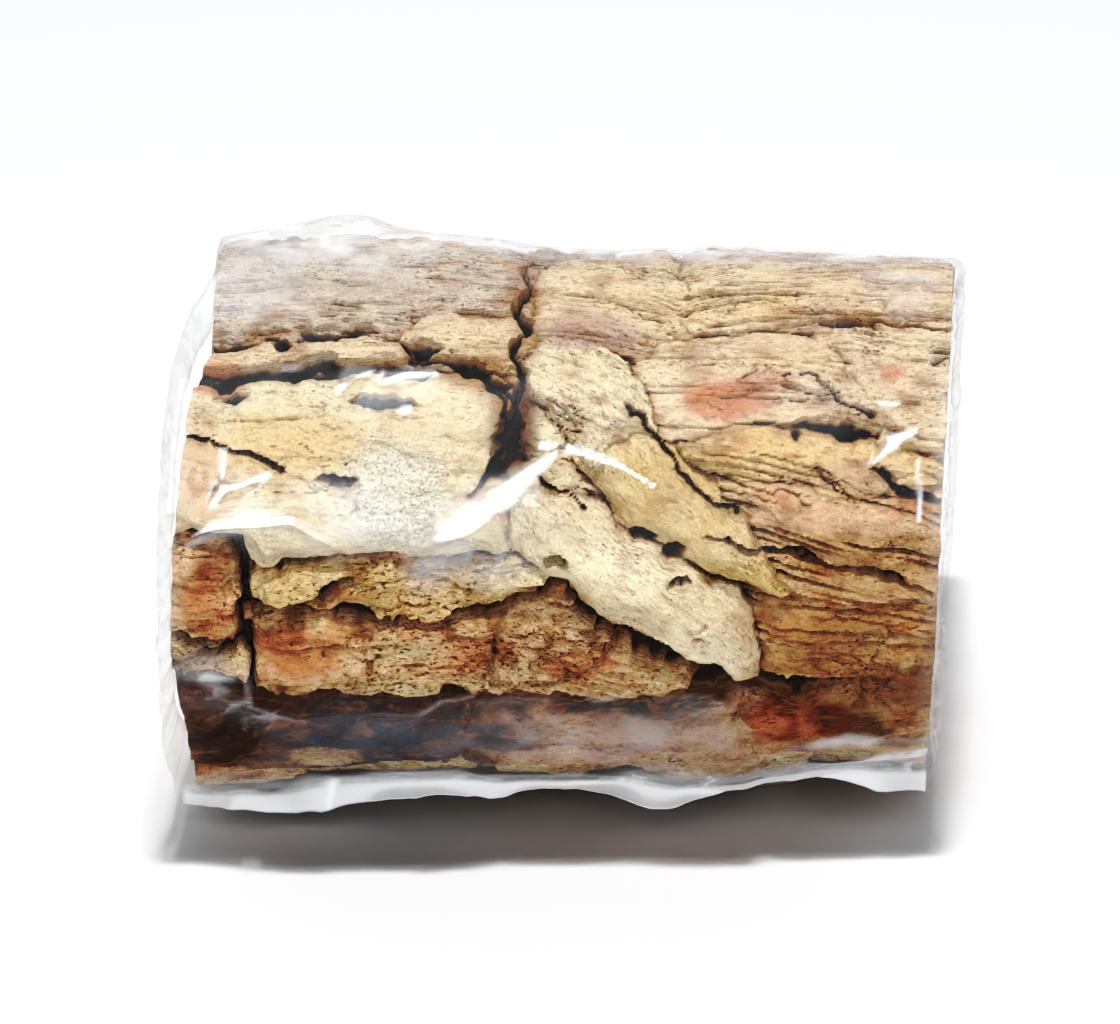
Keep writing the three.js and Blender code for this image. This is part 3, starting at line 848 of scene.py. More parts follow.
class Socket:
    """A value in a shader that takes part in arithmetic."""

    def __init__(self, graph: "ShaderGraph", output: bpy.types.NodeSocket) -> None:
        """Keep the graph and the node's output."""
        self.graph = graph
        self.output = output

    def _math(self, operation: str, *values: Any) -> "Socket":
        """Add a Math node for an operation on values."""
        inputs = dict(enumerate(values))
        return self.graph.add("ShaderNodeMath", {"operation": operation}, inputs)

    def __add__(self, other: Any) -> "Socket":
        """Add."""
        return self._math("ADD", self, other)

    def __radd__(self, other: Any) -> "Socket":
        """Add, from the right."""
        return self._math("ADD", other, self)

    def __sub__(self, other: Any) -> "Socket":
        """Subtract."""
        return self._math("SUBTRACT", self, other)

    def __rsub__(self, other: Any) -> "Socket":
        """Subtract from a number."""
        return self._math("SUBTRACT", other, self)

    def __mul__(self, other: Any) -> "Socket":
        """Multiply."""
        return self._math("MULTIPLY", self, other)

    def __rmul__(self, other: Any) -> "Socket":
        """Multiply, from the right."""
        return self._math("MULTIPLY", other, self)

    def __truediv__(self, other: Any) -> "Socket":
        """Divide."""
        return self._math("DIVIDE", self, other)

    def __pow__(self, other: Any) -> "Socket":
        """Raise to a power."""
        return self._math("POWER", self, other)

    def between(self, low: float, high: float) -> "Socket":
        """Rise smoothly from 0 at low to 1 at high, or fall where high is below low."""
        falls = high < low
        ends = (high, low) if falls else (low, high)
        inputs = {"Value": self, "From Min": ends[0], "From Max": ends[1]}
        rise = self.graph.add("ShaderNodeMapRange", {"interpolation_type": "SMOOTHSTEP"}, inputs)
        return 1 - rise if falls else rise


MILLIMETRES = (1000.0, 1000.0, 1000.0)


class ShaderGraph:
    """The node tree of one material, or of the surroundings."""

    def __init__(self, owner: bpy.types.Material | bpy.types.World) -> None:
        """Start with an empty tree."""
        self.owner = owner
        self.owner.use_nodes = True
        self.tree = owner.node_tree
        self.tree.nodes.clear()

    @classmethod
    def of_material(cls, name: str) -> "ShaderGraph":
        """Start a new material."""
        return cls(bpy.data.materials.new(name))

    def add(self, kind: str, settings: dict[str, Any], inputs: dict[Any, Any], output: Any = 0) -> Socket:
        """Add a node.

        Args:
            kind: The node's type.
            settings: Its own settings, set before the sockets.
            inputs: Values or sockets for its inputs, by name or number.
            output: Name or number of the output to use.

        Returns:
            That output.
        """
        node = self.tree.nodes.new(kind)
        for name, value in settings.items():
            setattr(node, name, value)
        for name, value in inputs.items():
            socket = node.inputs[name]
            if isinstance(value, Socket):
                self.tree.links.new(value.output, socket)
            else:
                socket.default_value = value
        return Socket(self, node.outputs[output])

    def attribute(self, name: str, output: str = "Vector") -> Socket:
        """Read an attribute of the mesh."""
        settings = {"attribute_name": name, "attribute_type": "GEOMETRY"}
        return self.add("ShaderNodeAttribute", settings, {}, output)

    def grain(self) -> Socket:
        """Read the mesh's grain, in millimetres."""
        return self.scaled(self.attribute("grain"), MILLIMETRES)

    def joined(self, x: Any, y: Any = 0.0) -> Socket:
        """Join two coordinates to a vector."""
        return self.add("ShaderNodeCombineXYZ", {}, {"X": x, "Y": y})

    def part(self, vector: Socket, axis: str) -> Socket:
        """Take one coordinate of a vector."""
        return self.add("ShaderNodeSeparateXYZ", {}, {"Vector": vector}, axis)

    def scaled(self, vector: Socket, factors: Three) -> Socket:
        """Multiply a vector by three factors."""
        return self.add("ShaderNodeVectorMath", {"operation": "MULTIPLY"}, {0: vector, 1: factors})

    def noise(self, vector: Socket, scale: float, detail: float = 2.0, rough: float = 0.5) -> Socket:
        """Add noise from 0 to 1 with a number of waves for each unit."""
        inputs = {"Vector": vector, "Scale": scale, "Detail": detail, "Roughness": rough}
        return self.add("ShaderNodeTexNoise", {"noise_dimensions": "3D"}, inputs)

    def mixed(self, share: Any, first: Any, second: Any, blend: str = "MIX") -> Socket:
        """Mix two colours by a share."""
        settings = {"data_type": "RGBA", "blend_type": blend, "clamp_factor": True}
        inputs = {"Factor": share, 6: first, 7: second}
        return self.add("ShaderNodeMix", settings, inputs, 2)

    def bumped(self, height: Socket, distance: float, strength: float = 1.0) -> Socket:
        """Turn a height into a normal."""
        return self.add("ShaderNodeBump", {}, {"Height": height, "Distance": distance, "Strength": strength})

    def surface(self, colour: Any, rough: float, gloss: float, normal: Socket) -> bpy.types.Material:
        """Finish an ordinary surface from its colour, roughness, gloss and normal."""
        names = ("Base Color", "Roughness", "Specular IOR Level", "Normal")
        inputs = dict(zip(names, (colour, rough, gloss, normal)))
        return self.finish(self.add("ShaderNodeBsdfPrincipled", {}, inputs))

    def finish(self, shader: Socket, kind: str = "ShaderNodeOutputMaterial") -> Any:
        """Join the last shader to the output and return the material or the surroundings."""
        output = self.tree.nodes.new(kind)
        self.tree.links.new(shader.output, output.inputs["Surface"])
        return self.owner


@dataclass(frozen=True)
class BarkFinish:
    """Weathered outer bark: tinted plates with fine grain, specks and layered walls, with crevices and hollows
    darkened, partly as dark cork and partly as painted shade.
    """

    roughness: float = 0.9
    bump_depth: float = 0.0011
    darker: Rgba = (0.46, 0.34, 0.25, 1.0)
    lighter: Rgba = (1.5, 1.55, 1.6, 1.0)
    name: str = "weathered_bark"

    def material(self) -> bpy.types.Material:
        """Build the material from the mesh's tint, grain and marks."""
        graph = ShaderGraph.of_material(self.name)
        grain = graph.grain()
        marks = graph.attribute("marks")
        hollow_shade = graph.part(marks, "X")
        wall = graph.part(marks, "Y")
        height = graph.part(marks, "Z")
        skin = graph.attribute("skin")
        lively = graph.part(skin, "X")
        speckled = graph.part(skin, "Y")
        along = graph.scaled(grain, (0.42, 1.0, 1.0))
        tint = graph.attribute("tint", "Color")

        fibre = graph.noise(along, 0.8, 3.0, 0.65)
        grit = graph.noise(grain, 1.3, 2.0, 0.6)
        dash = graph.noise(along, 1.3, 3.0, 0.65)
        colour = graph.mixed(fibre.between(0.48, 0.68) * (lively * 0.5 + 0.3), tint, self.darker, "MULTIPLY")
        colour = graph.mixed(grit.between(0.5, 0.3) * (lively * 0.5 + 0.3), colour, self.lighter, "MULTIPLY")

        strata = graph.noise(graph.joined(height * 1.1, graph.part(along, "X") * 0.25), 2.0, 2.0, 0.6)
        colour = graph.mixed(wall * strata.between(0.46, 0.62) * 0.75, colour, Tone.BROWN.rgba())
        # Painted shade in part: low places between the plates are darkened to umber by their depth, partly the
        # crevices' dark cork, partly painted shade.
        colour = graph.mixed(height.between(6.5, 3.0) * 0.8, colour, Tone.UMBER.rgba())

        colour = graph.mixed(grit.between(0.56, 0.64) * speckled * 0.6, colour, Tone.ASH.rgba())
        dashes = (dash + lively * 0.15).between(0.73, 0.79)
        # Painted shade in part: hollows are darkened to brown, and the deepest hollows and lowest places to
        # near-black, partly dark cork, partly painted shade.
        colour = graph.mixed(hollow_shade.between(0.05, 0.5) * 0.75, colour, Tone.BROWN.rgba())
        colour = graph.mixed(dashes * 0.85, colour, Tone.UMBER.rgba())
        colour = graph.mixed(hollow_shade.between(0.3, 0.8) * 0.95, colour, Tone.CRUST_AND_SHADE.rgba())
        colour = graph.mixed(height.between(3.8, 1.6) * 0.95, colour, Tone.CRUST_AND_SHADE.rgba())

        relief = grit * 0.6 + fibre * 0.8 * lively - dashes * 0.8 + strata * wall * 0.8
        return graph.surface(colour, self.roughness, 0.0, graph.bumped(relief, self.bump_depth))


@dataclass(frozen=True)
class SawnFinish:
    """Sawn end grain of cork: fine growth lines round the tube and dark pores."""

    roughness: float = 0.85
    gloss: float = 0.3
    bump_depth: float = 0.0005
    bump_share: float = 0.8
    name: str = "sawn_cork"

    def material(self) -> bpy.types.Material:
        """Build the material from the mesh's grain."""
        graph = ShaderGraph.of_material(self.name)
        grain = graph.grain()
        height = graph.part(graph.attribute("marks"), "Z")
        mottle = graph.noise(grain, 0.3, 4.0, 0.6)
        bent = height * 0.55 + mottle * 1.6
        bands = {"Vector": graph.joined(bent), "Scale": 0.6, "Distortion": 0.0}
        ring = graph.add("ShaderNodeTexWave", {"wave_type": "BANDS"}, bands, "Fac")
        pores = graph.noise(grain, 0.9, 4.0, 0.7).between(0.6, 0.72)
        colour = graph.mixed(ring.between(0.6, 0.95) * 0.5, Tone.SAWN.rgba(), Tone.BROWN.rgba())
        colour = graph.mixed(mottle.between(0.5, 0.75) * 0.4, colour, Tone.TAN.rgba())
        colour = graph.mixed(pores * 0.8, colour, Tone.UMBER.rgba())
        relief = mottle * 0.6 + ring * 0.2 - pores * 0.7
        normal = graph.bumped(relief, self.bump_depth, self.bump_share)
        return graph.surface(colour, self.roughness, self.gloss, normal)


@dataclass(frozen=True)
class LiningFinish:
    """The inner face of the bark: reddish brown, smooth, with fine grain along the tube."""

    roughness: float = 0.7
    gloss: float = 0.35
    bump_depth: float = 0.0008
    bump_share: float = 0.8
    name: str = "inner_bark"

    def material(self) -> bpy.types.Material:
        """Build the material from the mesh's grain."""
        graph = ShaderGraph.of_material(self.name)
        grain = graph.grain()
        along = graph.scaled(grain, (0.1, 1.0, 1.0))
        streak = graph.noise(along, 0.35, 5.0, 0.65)
        blotch = graph.noise(grain, 0.06, 3.0, 0.5)
        pores = graph.noise(graph.scaled(grain, (0.4, 1.0, 1.0)), 0.8, 3.0, 0.6).between(0.62, 0.72)
        colour = graph.mixed(streak.between(0.42, 0.7), Tone.LINING.rgba(), Tone.UMBER.rgba())
        colour = graph.mixed(blotch.between(0.5, 0.7) * 0.5, colour, Tone.TAN.rgba())
        colour = graph.mixed(pores * 0.6, colour, Tone.CRUST_AND_SHADE.rgba())
        normal = graph.bumped(streak * 0.8 - pores * 0.4, self.bump_depth, self.bump_share)
        return graph.surface(colour, self.roughness, self.gloss, normal)


@dataclass(frozen=True)
class FilmFinish:
    """Clear shrink film: mirror-like at a slant, with extra mirror share painted on in strokes, many along its
    creases, where highlights are to fall (painted highlights), and milky where it is slack and in a few spots
    along the front that stand in for sheen (painted sheen).
    """

    facing_share: float = 0.006
    slant_share: float = 0.52
    slant_power: float = 6.0
    roughness: float = 0.19
    milk_and_sheen: Rgba = (0.9, 0.92, 0.95, 1.0)
    passed: Rgba = (0.965, 0.97, 0.97, 1.0)
    name: str = "clear_film"

    def material(self) -> bpy.types.Material:
        """Build the material from the mesh's haze and painted shine."""
        graph = ShaderGraph.of_material(self.name)
        looks = graph.attribute("looks")
        haze = graph.part(looks, "X")
        painted_shine = graph.part(looks, "Y")
        facing = graph.add("ShaderNodeLayerWeight", {}, {"Blend": 0.5}, "Facing")
        # The painted shine adds mirror share in the highlight strokes, so the front and top lamps show there
        # as painted highlights.
        mirror = facing**self.slant_power * self.slant_share + self.facing_share + painted_shine
        share = mirror + haze
        inputs = {"Base Color": self.milk_and_sheen, "Roughness": self.roughness, "Metallic": mirror / share}
        body = graph.add("ShaderNodeBsdfPrincipled", {}, inputs)
        clear = graph.add("ShaderNodeBsdfTransparent", {}, {"Color": self.passed})
        shader = graph.add("ShaderNodeMixShader", {}, {"Fac": share, 1: clear, 2: body})
        return graph.finish(shader)


@dataclass(frozen=True)
class FloorFinish:
    """Matt white paper."""

    colour: Rgba = (0.74, 0.745, 0.75, 1.0)
    name: str = "white_sweep"

    def material(self) -> bpy.types.Material:
        """Build the material."""
        graph = ShaderGraph.of_material(self.name)
        return graph.finish(graph.add("ShaderNodeBsdfDiffuse", {}, {"Color": self.colour}))


def flat_grid(name: str, columns: int, rows: int, size: float) -> bpy.types.Mesh:
    """Make a flat grid, from minus its size to its size."""
    mesh_maker = bmesh.new()
    bmesh.ops.create_grid(mesh_maker, x_segments=columns, y_segments=rows, size=size)
    mesh = bpy.data.meshes.new(name)
    mesh_maker.to_mesh(mesh)
    mesh_maker.free()
    return mesh


def placed(name: str, data: bpy.types.ID) -> bpy.types.Object:
    """Put an object with its data into the scene, and return it."""
    made = bpy.data.objects.new(name, data)
    bpy.context.scene.collection.objects.link(made)
    return made


def aim(thing: bpy.types.Object, target: Vector, away: Vector, distance: float) -> None:
    """Place a lamp or a camera at a distance from its target, and turn it to face the target."""
    thing.location = target + away * distance
    thing.rotation_euler = away.to_track_quat("Z", "Y").to_euler()


def rolled_grid(name: str, around: int, rows: int, closed: bool) -> tuple[bpy.types.Mesh, Array, Array]:
    """Make a flat grid that will be rolled up.

    Args:
        name: Name of the mesh.
        around: Faces round the tube.
        rows: Faces from the first ring to the last.
        closed: Whether the last ring is the first one again.

    Returns:
        The mesh, and each vertex's column and ring. The far edges' vertices repeat those of the near edges.
    """
    mesh = flat_grid(name, around, rows, 0.5)
    flat = np.empty(len(mesh.vertices) * 3, np.float32)
    mesh.vertices.foreach_get("co", flat)
    flat = flat.reshape(-1, 3)
    column = np.rint((flat[:, 0] + 0.5) * around).astype(int) % around
    ring = np.rint((flat[:, 1] + 0.5) * rows).astype(int)
    if closed:
        ring %= rows
    return mesh, column, ring


def store(mesh: bpy.types.Mesh, name: str, values: Array) -> None:
    """Store a vector or a colour for each vertex as an attribute."""
    kinds = {3: ("FLOAT_VECTOR", "vector"), 4: ("FLOAT_COLOR", "color")}
    kind, key = kinds[values.shape[1]]
    attribute = mesh.attributes.new(name, kind, "POINT")
    attribute.data.foreach_set(key, values.astype(np.float32).ravel())


def close_seams(mesh: bpy.types.Mesh) -> None:
    """Weld the edges of a rolled grid where they meet, and turn its faces outwards."""
    mesh_maker = bmesh.new()
    mesh_maker.from_mesh(mesh)
    edge = [vertex for vertex in mesh_maker.verts if vertex.is_boundary]
    bmesh.ops.remove_doubles(mesh_maker, verts=edge, dist=1e-7)
    bmesh.ops.recalc_face_normals(mesh_maker, faces=mesh_maker.faces)
    mesh_maker.to_mesh(mesh)
    mesh_maker.free()


def evaluated(piece: bpy.types.Object) -> None:
    """Apply a piece's modifiers to its mesh."""
    graph = bpy.context.evaluated_depsgraph_get()
    mesh = bpy.data.meshes.new_from_object(piece.evaluated_get(graph))
    piece.modifiers.clear()
    piece.data = mesh


@dataclass
class CorkBark:
    """The tube of bark: its outer skin, two sawn ends and the bore, as one closed piece."""

    form: TubeForm
    relief: BarkRelief
    colour: BarkColour
    around: int = 720
    along: int = 330
    quick_grid: tuple[int, int] = (480, 220)
    end_steps: int = 20
    bore_steps: int = 40
    faces_kept: int = 190000
    undercut: float = 0.32
    undercut_from: float = 8.0
    # Reaches and depths of the hollowness that the finish darkens, partly as painted shade.
    shade_hollows: tuple[tuple[float, float], ...] = ((2.2, 1.6), (7.0, 4.5))
    sharp_from: float = math.radians(48)
    lowest: float = 0.35
    rim_chips: Unevenness = Unevenness(height=1.1, along=1.0, turns=38, seed=151, layers=3, gain=0.6)
    outer_radius: Array = field(init=False, repr=False)
    outer_angle: Array = field(init=False, repr=False)
    outer_x: Array = field(init=False, repr=False)

    def build(self) -> bpy.types.Object:
        """Build the bark's mesh with its tint, grain and marks."""
        rows = self.along + 1 + 2 * self.end_steps + self.bore_steps + 1
        mesh, column, ring = rolled_grid("cork_bark_piece", self.around, rows, closed=True)
        angle = np.arange(self.around) / self.around * 2 * np.pi
        rings = self._rings(angle)
        names = ("place", "grain", "marks", "tint", "skin")
        table = {name: np.concatenate([part[name] for part in rings]) for name in names}
        place = table["place"][ring, column]
        mesh.vertices.foreach_set("co", place.astype(np.float32).ravel())
        for name in names[1:]:
            store(mesh, name, table[name][ring, column])
        self._assign_finishes(mesh)
        close_seams(mesh)
        piece = placed("cork_bark_piece", mesh)
        self._thin(piece)
        return piece

    def _assign_finishes(self, mesh: bpy.types.Mesh) -> None:
        """Give each face the number of its finish: outer bark, sawn end or lining."""
        index = np.arange(len(mesh.polygons)) // self.around
        bore_from = self.along + self.end_steps + 1
        bore_to = bore_from + self.bore_steps
        finish = np.where(index < self.along, 0, np.where((index >= bore_from) & (index < bore_to), 2, 1))
        for finish_maker in (BarkFinish(), SawnFinish(), LiningFinish()):
            mesh.materials.append(finish_maker.material())
        mesh.polygons.foreach_set("material_index", finish.astype(np.int32))

    def _rings(self, angle: Array) -> list[dict[str, Array]]:
        """Work out the rings of points of every part of the wall, in order.

        Args:
            angle: Angle of each column.

        Returns:
            For each part, arrays of places, grain, marks, tints and skin by ring and column.
        """
        outer = self._outer(angle)
        bore = self._bore(angle)
        right = self._end(outer, bore, last=True)
        left = self._end(outer, bore, last=False)
        return [outer, right, {key: value[::-1] for key, value in bore.items()}, left]

    def _outer(self, angle: Array) -> dict[str, Array]:
        """Work out the outer skin, from the left end to the right."""
        t = np.linspace(0, 1, self.along + 1)[:, None]
        angles = np.broadcast_to(angle, (self.along + 1, self.around))
        s = wrapped(angles * MEAN_RADIUS)
        chips = self.rim_chips.at(t * 0, s) * (1 - 2 * t)
        x = self.form.between_cuts(t, 1.0, angles) + chips * 0.7
        sample = self.relief.sample(x, s)
        radius = self.form.base_radius(x, angles) + sample.height
        shifted = angles - self.undercut * (sample.height - self.undercut_from) / MEAN_RADIUS
        self.outer_radius, self.outer_angle, self.outer_x = radius, shifted, x
        tint = self.colour.tint(x, s, sample, self.relief.plates)
        return {
            "place": self.form.points(x, radius, shifted, self.lowest),
            "grain": self._grain(x, s, sample, radius),
            "marks": self._marks(sample.height),
            "tint": np.concatenate([tint, np.ones(tint.shape[:-1] + (1,))], axis=-1),
            "skin": self.colour.skin(x, s, sample),
        }

    def _marks(self, height: Array) -> Array:
        """Give how hollow the bark is at each point, which the finish darkens partly as painted shade, how
        steep it is, and its height.
        """
        step_x = LENGTH / self.along
        step_s = GIRTH / self.around
        hollow_shade = np.zeros(height.shape)
        for reach, deep in self.shade_hollows:
            around = blurred(height, round(reach / step_x), round(reach / step_s))
            hollow_shade += 0.5 * np.clip((around - height) / deep, -1, 1)
        slope_x, slope_s = np.gradient(height)
        wall = smooth(0.5, 1.6, np.hypot(slope_x / step_x, slope_s / step_s))
        return np.stack([hollow_shade, wall, height], axis=-1)

    def _grain(self, x: Array, s: Array, sample: ReliefSample, radius: Array) -> Array:
        """Give each point's place with its plate turned straight along the tube, for the grain to follow."""
        along, across = self.relief.on_plate(x, s, sample.number)
        straight_x = self.relief.of_plates("x", sample.number) + along
        straight_s = self.relief.of_plates("s", sample.number) + across
        return self.form.points(straight_x, radius, straight_s / MEAN_RADIUS, -FAR)

    def _bore(self, angle: Array) -> dict[str, Array]:
        """Work out the bore's wall, from the left end to the right."""
        t = np.linspace(0, 1, self.bore_steps + 1)[:, None]
        angles = np.broadcast_to(angle, (self.bore_steps + 1, self.around))
        share = BORE_RADIUS / MEAN_RADIUS
        x = self.form.between_cuts(t, share, angles)
        s = wrapped(angles * MEAN_RADIUS)
        radius = BORE_RADIUS + BORE_WAVES.at(x, s) + BORE_GRAIN.at(x, s)
        place = self.form.points(x, radius, angles, self.lowest)
        marks = np.stack([0 * x, 0 * x, radius - FLOOR_RADIUS], axis=-1)
        tint = np.broadcast_to(np.array(Tone.LINING.rgba()), x.shape + (4,))
        return {"place": place, "grain": place, "marks": marks, "tint": tint, "skin": 0 * marks}

    def _end(self, outer: dict[str, Array], bore: dict[str, Array], last: bool) -> dict[str, Array]:
        """Work out a sawn end between the outer skin's rim and the bore's.

        Args:
            outer: The outer skin.
            bore: The bore.
            last: Whether this is the right end, which runs inwards, or the left end, which runs outwards.

        Returns:
            The end's arrays, without the rings that it shares with its neighbours.
        """
        index = -1 if last else 0
        t = np.linspace(0, 1, self.end_steps + 2)[1:-1, None]
        if not last:
            t = t[::-1]
        t3 = t[..., None]
        place = outer["place"][index] * (1 - t3) + bore["place"][index] * t3
        saw = 0.12 * roughness(place[..., 1] / MM / 9, place[..., 2] / MM / 2.2, 171, 3, 0.6)
        place[..., 0] += saw * MM * np.minimum(1, 4 * t * (1 - t))
        height = np.hypot(place[..., 1] / MM - AXIS_Y, place[..., 2] / MM - AXIS_HEIGHT) - FLOOR_RADIUS
        marks = np.stack([0 * height, 0 * height, height], axis=-1)
        tint = np.broadcast_to(np.array(Tone.SAWN.rgba()), height.shape + (4,))
        return {"place": place, "grain": place.copy(), "marks": marks, "tint": tint, "skin": 0 * marks}

    def _thin(self, piece: bpy.types.Object) -> None:
        """Take out faces where the bark is plain, and keep them where it is rough."""
        faces = 2 * len(piece.data.polygons)
        if faces > self.faces_kept:
            thinner = piece.modifiers.new("thin", "DECIMATE")
            thinner.ratio = self.faces_kept / faces
            evaluated(piece)

    def dress(self, piece: bpy.types.Object) -> None:
        """Smooth the shading between sharp edges, and hand the piece over."""
        mesh = piece.data
        mesh.polygons.foreach_set("use_smooth", np.ones(len(mesh.polygons), bool))
        mesh.set_sharp_from_angle(angle=self.sharp_from)
        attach(piece, "root")
        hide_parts("cork_bark")


# Where along its line a crease or a painted highlight is given its sizes, and how a painted highlight fades
# across it.
WAY = (0.0, 0.5, 1.0)
FADE = (0.05, 1.45)


@dataclass(frozen=True)
class Crease:
    """A ridge where the film is pulled off the bark.

    The line runs from its first point to its last. Heights are given at its start, its middle and its end,
    the slopes fall away above the line and below it, and rounding is how far its crest is rounded off.
    """

    line: Line
    heights: Three
    slope_above: float
    slope_below: float
    rounding: float = 0.7

    def height(self, x: Array, s: Array) -> Array:
        """Give the height of the ridge at each point, with a rounded crest."""
        best = np.zeros(x.shape)
        for off_x, off_s, above, way in parts_of(self.line, x, s):
            slope = np.where(above, self.slope_above, self.slope_below)
            crest = np.interp(way, WAY, self.heights)
            away = np.sqrt(off_x**2 + off_s**2 + self.rounding**2) - self.rounding
            best = np.maximum(best, crest - slope * away)
        return best


@dataclass(frozen=True)
class PaintedHighlight:
    """A painted highlight on the film: a stroke of extra mirror share where a highlight is to fall, with its
    line, half its width at three places, and how bright it is.
    """

    line: Line
    halves: Three
    strength: float

    def at(self, x: Array, s: Array) -> Array:
        """Give the painted highlight's extra mirror share at each point."""
        best = np.zeros(x.shape)
        for off_x, off_s, _, way in parts_of(self.line, x, s):
            share = np.hypot(off_x, off_s) / np.interp(way, WAY, self.halves)
            best = np.maximum(best, self.strength * (1 - smooth(*FADE, share)))
        return best


@dataclass(frozen=True)
class MilkAndSheen(Spot):
    """A place where the film is milky, and how milky it is; along the front a few of them stand in for sheen,
    as painted sheen.
    """

    strength: float


@dataclass(frozen=True)
class Slack(Spot):
    """A place where the film is slack, and how far it stands off."""

    off: float


